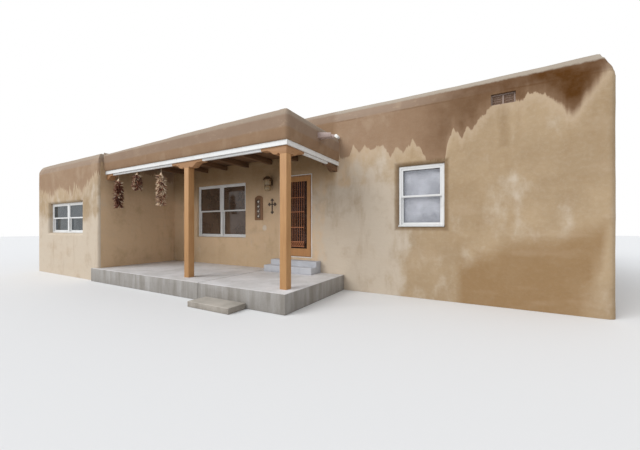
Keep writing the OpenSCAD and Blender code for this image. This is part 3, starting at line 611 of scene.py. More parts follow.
@dataclass(frozen=True)
class TwoTone:
    """Paint or stain in one colour inside a frame and another round its edge."""

    name: str
    inner: Colour
    outer: Colour
    node: str
    edge: float
    rough: float = 0.45

    def build(self) -> Material:
        """Build the material.

        Returns:
            The material.
        """
        sheet = NodeSheet(self.name)
        across, _, up = sheet.parts()
        gap = sheet.outside(across, up, *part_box(self.node))
        grain = sheet.noise(30.0, 4.0, 0.6, (1.0, 1.0, 0.05))
        wear = sheet.noise(3.0, 4.0, 0.6)
        first = sheet.mix(grain.step(0.4, 0.65) * 0.45, self.inner, dim(self.inner, 0.5))
        last = sheet.mix(grain.step(0.4, 0.65) * 0.3, self.outer, dim(self.outer, 0.62))
        colour = sheet.mix((gap - self.edge).step(-0.0015, 0.0015), first, last)
        colour = sheet.mix(wear.step(0.5, 0.75) * 0.25, colour, dim(self.inner, 0.5))
        return sheet.surface({"Base Color": colour, "Roughness": self.rough + 0.2 * (wear - 0.5)}, grain, 0.2, 0.002)


@dataclass(frozen=True)
class WindowGlass:
    """Window glass whose tint covers a share of it as painted shade for the dim room behind, letting the rest of the
    inside show through.
    """

    name: str = "window_glass"
    tint: Colour = (0.045, 0.058, 0.066)
    cover: float = 0.62
    gloss: float = 0.5

    def build(self) -> Material:
        """Build the material.

        Returns:
            The material.
        """
        sheet = NodeSheet(self.name)
        haze = sheet.noise(2.2, 3.0, 0.5)
        inputs = {"Base Color": self.tint, "Roughness": 0.02 + 0.05 * haze,
                  "Alpha": self.cover + 0.25 * haze.step(0.35, 0.7), "IOR": 1.5, "Specular IOR Level": self.gloss}
        return sheet.surface(inputs, sheet.noise(1.2, 1.0, 0.4), 0.05, 0.004)


@dataclass(frozen=True)
class ChilliSkin:
    """Wrinkled skins of dried chillies, from dark red to pale, with a tone for each pod; the pale tones are partly
    bleaching and partly painted highlights.
    """

    name: str = "chilli_skin"
    # The pale tones at the top of the ramp are partly bleaching and partly painted highlights.
    tones: tuple[tuple[float, Colour], ...] = (
        (0.0, (0.05, 0.013, 0.006)), (0.35, (0.15, 0.042, 0.018)), (0.55, (0.27, 0.11, 0.055)),
        (0.75, (0.52, 0.34, 0.22)), (1.0, (0.82, 0.68, 0.48)))
    dark: Colour = (0.04, 0.014, 0.008)

    def build(self) -> Material:
        """Build the material.

        Returns:
            The material.
        """
        sheet = NodeSheet(self.name)
        mottle = sheet.noise(40.0, 2.0, 0.5)
        crease = sheet.noise(120.0, 3.0, 0.6, (1.0, 1.0, 0.4))
        colour = sheet.ramp(sheet.attribute("tone") + (mottle - 0.5) * 0.3, self.tones)
        colour = sheet.mix(crease.step(0.5, 0.75) * 0.45, colour, self.dark)
        inputs = {"Base Color": colour, "Roughness": 0.42 + 0.3 * crease, "Coat Weight": 0.06}
        return sheet.surface(inputs, crease, 0.5, 0.004)


@dataclass(frozen=True)
class RoofGravel:
    """Gravel rolled into a flat roof."""

    name: str = "roof_gravel"
    pale: Colour = (0.42, 0.37, 0.31)
    dark: Colour = (0.29, 0.25, 0.205)

    def build(self) -> Material:
        """Build the material.

        Returns:
            The material.
        """
        sheet = NodeSheet(self.name)
        stones = sheet.out("TexVoronoi", None, {"Vector": sheet.place(), "Scale": 38.0})
        tone = sheet.out("TexVoronoi", None, {"Vector": sheet.place(), "Scale": 38.0}, "Color")
        drift = sheet.noise(0.9, 4.0, 0.6)
        colour = sheet.mix(0.35, sheet.mix(drift.step(0.35, 0.65), self.dark, self.pale), tone, "OVERLAY")
        colour = sheet.mix(stones.step(0.35, 0.7) * 0.6, colour, self.dark)
        return sheet.surface({"Base Color": colour, "Roughness": 0.95}, 1.0 - stones, 0.7, 0.012)


def select_only(*objects: Object) -> None:
    """Select these objects alone, with the first one active.

    Args:
        objects: the objects.
    """
    bpy.ops.object.select_all(action="DESELECT")
    for item in objects:
        item.select_set(True)
    bpy.context.view_layer.objects.active = objects[0]


def add(name: str, data: bpy.types.ID) -> Object:
    """Put data into the scene as a new object at the origin, and return it.

    Args:
        name: name of the object.
        data: its mesh, camera or lamp.

    Returns:
        The object.
    """
    piece = bpy.data.objects.new(name, data)
    bpy.context.scene.collection.objects.link(piece)
    return piece


@contextmanager
def editing(piece: Object) -> Iterator[None]:
    """Work on a piece in edit mode, with all of it selected at the start.

    Args:
        piece: the piece.

    Returns:
        A context that ends in object mode.
    """
    select_only(piece)
    bpy.ops.object.mode_set(mode="EDIT")
    bpy.ops.mesh.select_all(action="SELECT")
    yield
    bpy.ops.object.mode_set(mode="OBJECT")


def modify(piece: Object, kind: str, **settings: object) -> Object:
    """Apply a modifier with the given settings to a piece, and return the piece.

    Args:
        piece: the piece.
        kind: the modifier's type.
        settings: the modifier's settings.

    Returns:
        The piece.
    """
    select_only(piece)
    change = piece.modifiers.new(kind.lower(), kind)
    for key, value in settings.items():
        setattr(change, key, value)
    bpy.ops.object.modifier_apply(modifier=change.name)
    return piece


def note(piece: Object, name: str, numbers: Sequence[float]) -> Object:
    """Store a number for each point of a piece, and return the piece."""
    piece.data.attributes.new(name, "FLOAT", "POINT").data.foreach_set("value", numbers)
    return piece


def settle(piece: Object) -> Object:
    """Apply the place of a piece to its mesh and return it.

    Args:
        piece: the piece.

    Returns:
        The piece.
    """
    select_only(piece)
    bpy.ops.object.transform_apply(location=True, rotation=True, scale=True)
    return piece


def bevel_edges(piece: Object, width: float, segments: int, wanted: Callable[[bmesh.types.BMEdge], bool]) -> None:
    """Round the wanted edges of a piece.

    Args:
        piece: the piece.
        width: width of the rounding in metres.
        segments: faces across it.
        wanted: tells whether an edge is rounded.
    """
    with editing(piece):
        bpy.ops.mesh.select_mode(type="EDGE")
        bpy.ops.mesh.select_all(action="DESELECT")
        for edge in bmesh.from_edit_mesh(piece.data).edges:
            edge.select_set(wanted(edge))
        bmesh.update_edit_mesh(piece.data)
        bpy.ops.mesh.bevel(offset=width, segments=segments, profile=0.5, affect="EDGES", clamp_overlap=True)


def soften(piece: Object, width: float, segments: int = 2) -> Object:
    """Take the sharp edges off a piece, and return it."""
    return modify(piece, "BEVEL", width=width, segments=segments, limit_method="ANGLE",
                  angle_limit=math.radians(35.0))


def smooth(piece: Object, angle: float = 40.0) -> Object:
    """Shade a piece smooth up to an angle, and return it.

    Args:
        piece: the piece.
        angle: the angle in degrees.

    Returns:
        The piece.
    """
    select_only(piece)
    bpy.ops.object.shade_smooth_by_angle(angle=math.radians(angle))
    return piece


def copy_node(node: str, name: str) -> Object:
    """Return a copy of a node of the frame, with its loose triangles merged into clean faces.

    Args:
        node: the node's name.
        name: name of the copy.

    Returns:
        The copy.
    """
    piece = add(name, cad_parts[node].data.copy())
    piece.data.materials.clear()
    with editing(piece):
        bpy.ops.mesh.remove_doubles(threshold=0.0001)
        bpy.ops.mesh.customdata_custom_splitnormals_clear()
        bpy.ops.mesh.dissolve_limited(angle_limit=math.radians(0.5))
    return piece


def join(pieces: Sequence[Object], name: str) -> Object:
    """Join pieces into one mesh and return it.

    Args:
        pieces: the pieces.
        name: name of the whole.

    Returns:
        The whole.
    """
    select_only(*pieces)
    bpy.ops.object.join()
    pieces[0].name = name
    return pieces[0]


def combine(piece: Object, tool: Object, operation: str) -> Object:
    """Unite a piece with a tool, or cut the tool out of it, and delete the tool.

    Args:
        piece: the piece that stays.
        tool: the closed solid to unite or to cut with.
        operation: UNION or DIFFERENCE.

    Returns:
        The piece.
    """
    modify(piece, "BOOLEAN", object=tool, operation=operation, solver="EXACT")
    bpy.data.objects.remove(tool)
    return piece


def block(name: str, lowest: Sequence[float], highest: Sequence[float]) -> Object:
    """Add a block between two corners, as a start for a piece or as a cutter.

    Args:
        name: name of the block.
        lowest: its lowest corner.
        highest: its highest corner.

    Returns:
        The block.
    """
    bpy.ops.object.select_all(action="DESELECT")
    middle = [(a + b) / 2 for a, b in zip(lowest, highest)]
    bpy.ops.mesh.primitive_cube_add(size=1.0, location=middle)
    piece = bpy.context.object
    piece.name = name
    piece.scale = [b - a for a, b in zip(lowest, highest)]
    return settle(piece)


def rod(name: str, start: Sequence[float], end: Sequence[float], radius: float, sides: int) -> Object:
    """Add a round rod between two points.

    Args:
        name: name of the rod.
        start: one end.
        end: the other end.
        radius: its radius in metres.
        sides: faces round it.

    Returns:
        The rod.
    """
    first, last = Vector(start), Vector(end)
    bpy.ops.object.select_all(action="DESELECT")
    bpy.ops.mesh.primitive_cylinder_add(vertices=sides, radius=radius, depth=(last - first).length,
                                        location=(first + last) / 2,
                                        rotation=(last - first).to_track_quat("Z", "Y").to_euler())
    bpy.context.object.name = name
    return settle(bpy.context.object)


def turned(name: str, outline: Sequence[tuple[float, float]], centre: Sequence[float], steps: int) -> Object:
    """Spin an outline of radius and height about an upright axis.

    Args:
        name: name of the piece.
        outline: pairs of radius and height, from the foot to the top.
        centre: place of the axis at height 0.
        steps: faces round the axis.

    Returns:
        The piece.
    """
    mesh = bpy.data.meshes.new(name)
    points = [(radius, 0.0, height) for radius, height in outline]
    mesh.from_pydata(points, [(i, i + 1) for i in range(len(points) - 1)], [])
    piece = add(name, mesh)
    with editing(piece):
        bpy.ops.mesh.spin(steps=steps, angle=math.tau, center=(0, 0, 0), axis=(0, 0, 1))
        bpy.ops.mesh.select_all(action="SELECT")
        bpy.ops.mesh.remove_doubles(threshold=0.00005)
        bpy.ops.mesh.normals_make_consistent(inside=False)
    piece.location = centre
    return smooth(settle(piece), 35.0)


def dress(piece: Object, finish: Material, body: str, slot: str, *nodes: str) -> Object:
    """Give a piece its finish and the body that it rides on, and hide the nodes that it stands for.

    Args:
        piece: the finished mesh.
        finish: its material.
        body: the body that carries it.
        slot: not used.
        nodes: nodes of the frame that it replaces.

    Returns:
        The piece.
    """
    piece.data.materials.clear()
    piece.data.materials.append(finish)
    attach(piece, body)
    if nodes:
        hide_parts(*nodes)
    LOG.info("%s: %d faces", piece.name, len(piece.data.polygons))
    return piece


def renew(node: str, name: str, finish: Material, slot: str, edge: float = 0.0, segments: int = 2,
          angle: float = 40.0, body: str = HOUSE) -> None:
    """Dress a clean copy of a node in its place.

    Args:
        node: the node of the frame.
        name: name of the piece.
        finish: its material.
        slot: the material slot in the record.
        edge: how far its sharp edges are taken off.
        segments: faces across each of those edges.
        angle: the angle up to which it is shaded smooth.
        body: the body that carries it.
    """
    piece = copy_node(node, name)
    if edge:
        soften(piece, edge, segments)
    dress(smooth(piece, angle), finish, body, slot, node)


def repaint(node: str, finish: Material) -> None:
    """Give a node of the frame a finish, with its mesh as it is.

    Args:
        node: the node.
        finish: its material.
    """
    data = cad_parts[node].data
    data.materials.clear()
    data.materials.append(finish)


class Level(NamedTuple):
    """What the plaster at one place takes from its wall: lengths in metres, and strengths of about 0 to 1.

    The drop is how far the place lies below its parapet. The damp and the crown reach down to their depths. The share
    that lightens the plaster beside and under the porch is painted light, and the brown share is partly stain and
    partly painted shade near the porch roof.
    """

    drop: float
    right: float = 0.0
    wing: float = 0.0
    damp_depth: float = 0.0
    crown_depth: float = 0.25
    pale: float = 0.0
    painted_light: float = 0.0
    brown: float = 0.0
    wet: float = 0.2


@dataclass
class PlasterShell:
    """Every plastered wall as one continuous skin with soft reveals and a hand-laid waviness.

    An edge is rounded where it folds by more than fold, lies within touch of an outer face, and is no lower than
    opening_from and no higher than opening_to. The tops move within a reach below the parapet, after a lead.
    """

    walls: tuple[str, ...] = ("front_wall_right", "front_wall_over_door", "door_sill_wall", "front_wall_left",
                              "front_wall_over_wing", "wing_sill_wall", "right_wall", "back_wall", "left_wall",
                              "wing_front_wall", "wing_left_wall", "wing_right_wall", "porch_parapet")
    seated: tuple[str, ...] = ("porch_window_frame", "right_window_frame", "wing_window_frame", "door_frame",
                               "wall_vent", "porch_fascia", "porch_side_beam", "porch_front_beam",
                               "wing_wall_corbel", "main_wall_corbel", "number_plaque", "wall_cross",
                               "wall_lantern", "floodlight", "door_steps", "porch_spout", "main_floor", "wing_floor")
    grid: float = 0.14
    wave: float = 0.016
    free_from: float = 0.03
    free_at: float = 0.30
    fold: float = 0.7
    touch: float = 0.003
    opening_from: float = 0.4
    opening_to: float = 3.9
    main_reach: float = 0.15
    low_reach: float = 0.1
    lead: float = 0.03
    rounds: tuple[tuple[str, float], ...] = (("door_frame", 0.008), ("right_window_frame", 0.055),
                                             ("wing_window_frame", 0.075), ("porch_window_frame", 0.03))
    plain_round: float = 0.024
    pale_right: Line = ((2.6, 1.0), (3.7, 0.85), (4.1, 0.5), (4.9, 0.22), (5.3, 0.12), (5.6, 0.3), (6.7, 0.3),
                        (7.0, 0.1))
    wet_right: Line = ((2.6, 0.0), (4.0, 0.12), (4.55, 0.3), (4.8, 0.5), (5.3, 0.75), (5.8, 0.8), (6.1, 0.8),
                       (6.4, 0.95), (7.0, 1.0), (7.2, 0.9), (7.4, 0.7))
    brown_foot: Line = ((5.3, 0.7), (5.94, 1.12), (6.71, 1.21), (6.96, 1.38), (7.29, 1.47))
    worn: tuple[float, float] = (0.22, 0.34)
    worn_curve: float = 1.12
    main_top: Line = ((-3.5, 0.04), (2.0, 0.045), (5.5, 0.05), (6.6, 0.07), (7.2, 0.085))
    porch_top: Line = ((-3.5, -0.035), (-1.0, 0.005), (0.8, 0.04), (2.4, 0.045))
    wing_top: Line = ((-7.5, 0.05), (-6.4, 0.06))
    arris_at: Line = ((0.44, 7.06), (0.77, 7.21), (1.25, 7.27), (1.72, 7.30), (2.97, 7.37))

    def build(self, finish: Material) -> Object:
        """Unite, round, cut, wave and dress the skin.

        Args:
            finish: the plaster.

        Returns:
            The skin.
        """
        shell = copy_node(self.walls[0], "plaster_shell")
        for wall in self.walls[1:]:
            combine(shell, copy_node(wall, wall + "_copy"), "UNION")
        self.clean(shell)
        self.round_openings(shell)
        self.cut_grid(shell)
        self.note_levels(shell)
        self.lay_waves(shell)
        self.slump(shell)
        smooth(shell, 42.0)
        return dress(shell, finish, HOUSE, "adobe_plaster", *self.walls)

    @staticmethod
    def clean(shell: Object) -> None:
        """Merge the seams where the walls met.

        Args:
            shell: the skin.
        """
        with editing(shell):
            bpy.ops.mesh.remove_doubles(threshold=0.0004)
            bpy.ops.mesh.dissolve_limited(angle_limit=math.radians(1.0))

    def round_openings(self, shell: Object) -> None:
        """Round the outer edges of the windows and the doorway, each by its own radius.

        Args:
            shell: the skin.
        """
        x, y = Axis.X.value, Axis.Y.value
        faces = ((y, low("front_wall_right").y), (y, low("wing_front_wall").y), (y, high("back_wall").y),
                 (x, low("left_wall").x), (x, high("right_wall").x))
        frames = [(*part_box(node), radius) for node, radius in self.rounds]

        def radius_at(edge: bmesh.types.BMEdge) -> float:
            """Return the rounding of an edge that bounds an opening on an outer face, or 0.

            Args:
                edge: the edge.

            Returns:
                The radius in metres.
            """
            if len(edge.link_faces) != 2 or edge.calc_face_angle(0.0) < self.fold or not edge.is_convex:
                return 0.0
            first, last = (v.co for v in edge.verts)
            middle = (first + last) / 2
            if not self.opening_from < middle.z < self.opening_to or max(first.z, last.z) > self.opening_to + 0.05:
                return 0.0
            if not any(max(abs(first[i] - at), abs(last[i] - at)) < self.touch for i, at in faces):
                return 0.0
            for start, end, radius in frames:
                if start.x - 0.05 < middle.x < end.x + 0.05 and start.y - 0.2 < middle.y < start.y + 0.2:
                    return radius
            return self.plain_round

        for radius in sorted({self.plain_round, *(radius for _, radius in self.rounds)}):
            bevel_edges(shell, radius, 4, lambda edge: radius_at(edge) == radius)

    def cut_grid(self, shell: Object) -> None:
        """Cut the skin into small cells for the waves, and finer ones at the worn corner.

        Args:
            shell: the skin.
        """
        lowest, highest = (Vector(shell.bound_box[index]) for index in (0, 6))
        planes = []
        for axis in Axis:
            at = lowest[axis.value] + self.grid / 2
            while at < highest[axis.value]:
                planes.append((axis, at))
                at += self.grid
        for index in range(1, 6):
            share = 1.05 - index / 5
            planes.append((Axis.X, highest.x - self.worn[0] * share))
            planes.append((Axis.Z, highest.z - self.worn[1] * share))
        with editing(shell):
            for axis, at in planes:
                normal = Vector([float(other is axis) for other in Axis])
                bpy.ops.mesh.select_all(action="SELECT")
                bpy.ops.mesh.bisect(plane_co=normal * at, plane_no=normal)

    def freedom(self, place: Vector, boxes: Sequence[tuple[Vector, Vector]]) -> float:
        """Return 0 beside the boxes of what is set into the plaster, rising to 1 away from them.

        Args:
            place: a point of the skin.
            boxes: lowest and highest corners.

        Returns:
            How far the point may move.
        """
        gaps = (math.sqrt(sum(max(start[i] - place[i], 0.0, place[i] - end[i]) ** 2 for i in range(3)))
                for start, end in boxes)
        return ease((min(self.free_at, *gaps) - self.free_from) / (self.free_at - self.free_from))

    def lay_waves(self, shell: Object) -> None:
        """Displace the skin a little, as a hand-laid plaster is.

        Args:
            shell: the skin.
        """
        boxes = [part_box(node) for node in self.seated] + [self.rear_window(index) for index in range(5)]
        lowest, highest = low("main_floor"), Vector((*high("main_floor").xy, low("main_roof").z))
        group = shell.vertex_groups.new(name="free")
        for vertex in shell.data.vertices:
            place = vertex.co
            fixed = place.z < 0.02 or all(lowest[i] - 0.02 < place[i] < highest[i] + 0.02 for i in range(3))
            group.add([vertex.index], 0.0 if fixed else self.freedom(place, boxes), "REPLACE")
        clouds = bpy.data.textures.new("trowel_waves", "CLOUDS")
        clouds.noise_scale = 0.62
        clouds.noise_depth = 2
        modify(shell, "DISPLACE", texture=clouds, texture_coords="LOCAL", strength=self.wave, mid_level=0.5,
               vertex_group=group.name)
        shell.vertex_groups.clear()

    @staticmethod
    def rear_window(index: int) -> tuple[Vector, Vector]:
        """Return a box that holds back the waves by one of the plain windows at the back and the sides.

        At the back the box is an upright strip with no width, and at the sides it has no thickness.

        Args:
            index: 0 to 2 at the back, 3 and 4 at the sides.

        Returns:
            Its lowest and highest corners.
        """
        start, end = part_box("rear_window_frames")
        if index < 3:
            step = (end.x - start.x) / 3
            x = start.x + index * step
            return Vector((x, end.y - 0.3, start.z)), Vector((x, end.y, end.z))
        x = start.x if index == 3 else end.x
        return Vector((x, start.y, start.z)), Vector((x, start.y + 0.9, end.z))

    def slump(self, shell: Object) -> None:
        """Let the rounded tops of the parapets rise and sag as laid, and wear down the arris over the right wall.

        Args:
            shell: the skin.
        """
        wall = low("front_wall_right").y
        wing_end = high("wing_right_wall").x
        top, wing_top, porch_top = (high(node).z for node in ("front_wall_right", "wing_front_wall", "porch_parapet"))
        wide, deep = self.worn
        centre = Vector((high("right_wall").x - wide, top - deep))
        for vertex in shell.data.vertices:
            x, y, z = vertex.co
            if y >= wall - 0.05:
                out = max(0.0, (x - centre.x) / wide), max(0.0, (z - centre.y) / deep)
                bulge = sum(share ** self.worn_curve for share in out) ** (1 / self.worn_curve)
                if min(out) > 0.0 and bulge > 1.0:
                    vertex.co.x = centre.x + wide * out[0] / bulge
                    vertex.co.z = centre.y + deep * out[1] / bulge
                height, line, reach = top, self.main_top, self.main_reach
            elif x > wing_end + 0.01:
                height, line, reach = porch_top, self.porch_top, self.low_reach
            else:
                height, line, reach = wing_top, self.wing_top, self.low_reach
            rise = profile(x, line)
            vertex.co.z += rise * ease((vertex.co.z - height + reach + self.lead) / reach)
            if height == wing_top:
                vertex.co.z = min(vertex.co.z, wing_top + rise)

    def note_levels(self, shell: Object) -> None:
        """Store the numbers of a level on each point of the skin.

        Args:
            shell: the skin.
        """
        rows = [self.level(vertex.co) for vertex in shell.data.vertices]
        for name, numbers in zip(Level._fields, zip(*rows)):
            note(shell, name, numbers)

    def level(self, place: Vector) -> Level:
        """Return what the plaster at a place takes from its wall.

        Args:
            place: a point of the skin.

        Returns:
            Its level.
        """
        x, y, z = place
        wall = low("front_wall_right").y
        wing_front, wing_end = low("wing_front_wall").y + 0.06, high("wing_right_wall").x
        main_drop, wing_drop, porch_drop = (
            high(node).z - z for node in ("front_wall_right", "wing_front_wall", "porch_parapet"))
        if y > wall + 0.3:
            return Level(main_drop, damp_depth=0.62, crown_depth=0.27, pale=0.3, brown=0.2, wet=0.4)
        if y > wall - 0.05 and x > high("porch_slab").x - 0.25:
            foot = clip(0.5 + (profile(x, self.brown_foot) - z) / 0.3) if x > 5.2 else 0.0
            pale = profile(x, self.pale_right) * (1.0 if z < 2.4 else 0.55)
            strip = clip(0.5 + (x - profile(z, self.arris_at)) / 0.1) * (z < 3.3)
            # Painted light: the strip beside the porch corner is lightened, fading out over a metre.
            return Level(main_drop, right=1.0, crown_depth=0.26, pale=max(pale * (1.0 - foot), 0.2 * strip),
                         painted_light=0.85 * max(0.0, 1.0 - (x - 2.6)), brown=foot * (1.0 - strip),
                         wet=profile(x, self.wet_right))
        if y > wall - 0.05:
            # Painted shade: toward the porch roof the plaster turns brown and loses its pale tone and its painted
            # light, where shade falls; lower down it is lightened as painted light.
            painted_roof_shade = clip((z - 2.2) / 0.8)
            near_door = clip(x - 0.9)
            low_down = clip((1.5 - z) / 0.9) * (1.0 - near_door)
            porch_end = clip((x - 1.85) / 0.6)
            return Level(main_drop, damp_depth=0.5 if z < 3.3 else 1.2,
                         pale=(0.1 + 0.35 * near_door + 0.5 * porch_end) * (1.0 - painted_roof_shade),
                         painted_light=(1.0 - 0.7 * painted_roof_shade - 0.6 * low_down) * (1.0 - 0.15 * porch_end),
                         brown=0.95 * painted_roof_shade)
        if x > wing_end + 0.01:
            return Level(porch_drop, damp_depth=0.9, crown_depth=0.30, pale=0.1, brown=0.5, wet=0.27)
        if x > wing_end - 0.05 and y > wing_front:
            # Painted shade: on the wing's side under the porch the plaster turns brown toward the roof, and lower down
            # it is lightened as painted light.
            painted_roof_shade = clip((z - 2.3) / 0.7)
            return Level(wing_drop, damp_depth=0.35, crown_depth=0.2, pale=0.05, painted_light=1.0 - 0.7 * painted_roof_shade,
                         brown=0.1 + 0.4 * painted_roof_shade)
        return Level(wing_drop, wing=float(y < wing_front), damp_depth=0.5, crown_depth=0.24,
                     pale=0.35 + 1.1 * clip((1.9 - z) / 0.7), wet=0.1)


@dataclass
class TimberPorch:
    """Posts, corbels, beams, rafters and the boards over them."""

    edge: float = 0.004
    board_w: float = 0.142
    board_gap: float = 0.004
    covering_t: float = 0.008

    def build(self, finishes: "Finishes") -> None:
        """Dress every timber of the porch.

        Args:
            finishes: the finishes of the house.
        """
        for node, axis in (("corner_post", Axis.Z), ("middle_post", Axis.Z), ("corner_corbel", Axis.X),
                           ("middle_corbel", Axis.X), ("wing_wall_corbel", Axis.X)):
            renew(node, node + "_timber", finishes.cedar[axis], "cedar", self.edge)
        # The corbel at the main wall is cedar but takes the dark beam finish, as painted shade for its place under the
        # fascia.
        for node, axis, slot in (("porch_front_beam", Axis.X, "dark_timber"),
                                 ("porch_side_beam", Axis.Y, "dark_timber"),
                                 ("porch_rafters", Axis.Y, "dark_timber"), ("main_wall_corbel", Axis.Y, "cedar")):
            renew(node, node + "_timber", finishes.beam[axis], slot, self.edge)
        self.deck(finishes)

    def deck(self, finishes: "Finishes") -> None:
        """Lay boards over the rafters, and the roof covering on top of them.

        Args:
            finishes: the finishes of the house.
        """
        start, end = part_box("porch_roof_deck")
        top = end.z - self.covering_t
        boards = []
        y = start.y
        while y < end.y - 0.01:
            stop = min(y + self.board_w - self.board_gap, end.y)
            boards.append(soften(block("board", (start.x, y, start.z), (end.x, stop, top)), 0.003, 1))
            y += self.board_w
        dress(join(boards, "porch_deck_boards"), finishes.beam[Axis.X], HOUSE, "dark_timber", "porch_roof_deck")
        covering = block("porch_roof_covering", (start.x, start.y, top), end)
        dress(soften(covering, 0.002), finishes.gravel, HOUSE, "roof_covering", "porch_roof_deck")


@dataclass
class Groundwork:
    """Porch slab, door steps and the loose step block."""

    joint_x: float = 0.62
    joint_w: float = 0.016
    joint_d: float = 0.02
    past: float = 0.05

    def build(self, finishes: "Finishes") -> None:
        """Dress the concrete, with a joint cut across the top and the front of the slab.

        Args:
            finishes: the finishes of the house.
        """
        slab = soften(copy_node("porch_slab", "porch_slab_concrete"), 0.012, 3)
        start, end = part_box("porch_slab")
        left, right = self.joint_x - self.joint_w / 2, self.joint_x + self.joint_w / 2
        for foot, back in ((end.z - self.joint_d, low("front_wall_right").y), (-self.past, start.y + self.joint_d)):
            groove = block("groove", (left, start.y - self.past, foot), (right, back, end.z + self.past))
            combine(slab, groove, "DIFFERENCE")
        dress(smooth(slab), finishes.slab, HOUSE, "concrete", "porch_slab")
        renew("door_steps", "door_steps_concrete", finishes.steps, "concrete", 0.011, 3)
        renew("front_step_block", "step_block_concrete", finishes.block, "concrete", 0.013, 3)


@dataclass
class WindowJoinery:
    """Window frames with eased edges, their glass, and pleated shades behind two of them."""

    edge: float = 0.0035
    pleat: float = 0.02
    fold: float = 0.0012
    cloth: float = 0.002
    shade_gap: float = 0.05

    def build(self, finishes: "Finishes") -> None:
        """Dress every window.

        Args:
            finishes: the finishes of the house.
        """
        for node in ("porch_window_frame", "right_window_frame", "wing_window_frame", "rear_window_frames"):
            renew(node, node + "_vinyl", finishes.vinyl, "white_vinyl", self.edge)
        for window, glass in (("right", finishes.clear_glass), ("wing", finishes.glass),
                              ("porch", finishes.porch_glass), ("rear", finishes.glass)):
            repaint(window + "_window_glass", glass)
        self.shade("right_window", finishes, 1.0)
        self.shade("wing_window", finishes, 0.45)

    def shade(self, window: str, finishes: "Finishes", drawn: float) -> None:
        """Hang a pleated shade behind a window.

        Args:
            window: name of the window.
            finishes: the finishes of the house.
            drawn: how far down it is drawn, from 0 to 1.
        """
        start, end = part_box(window + "_glass")
        y = end.y + self.shade_gap
        foot = end.z - (end.z - start.z) * drawn
        count = int((end.z - foot) / self.pleat)
        points = [(start.x, y + (self.fold if i % 2 else 0.0), end.z - i * (end.z - foot) / count)
                  for i in range(count + 1)]
        mesh = bpy.data.meshes.new(window + "_shade")
        mesh.from_pydata(points, [(i, i + 1) for i in range(count)], [])
        piece = add(window + "_shade", mesh)
        with editing(piece):
            bpy.ops.mesh.extrude_region_move(TRANSFORM_OT_translate={"value": (end.x - start.x, 0.0, 0.0)})
            bpy.ops.mesh.select_all(action="SELECT")
            bpy.ops.mesh.normals_make_consistent(inside=False)
        dress(modify(piece, "SOLIDIFY", thickness=self.cloth), finishes.shade, HOUSE, "white_vinyl")


@dataclass
class FrontDoor:
    """Door frame, screen door with its grille, and the door behind it."""

    edge: float = 0.003

    def build(self, finishes: "Finishes") -> None:
        """Dress the doorway. The screen door's grille has a redder stain than its stiles and rails.

        Args:
            finishes: the finishes of the house.
        """
        renew("door_frame", "door_frame_trim", finishes.door_trim, "white_vinyl", self.edge)
        renew("entry_door", "entry_door_leaf", finishes.door, "red_door_wood", self.edge, body=ENTRY)
        renew("screen_door", "screen_door_leaf", finishes.screen_wood, "cedar", angle=30.0, body=SCREEN)
        repaint("screen_door_glass", finishes.screen_glass)
        for node, body in (("screen_door_handle", SCREEN), ("entry_door_handle", ENTRY)):
            renew(node, node + "_knob", finishes.iron, "dark_iron", angle=30.0, body=body)


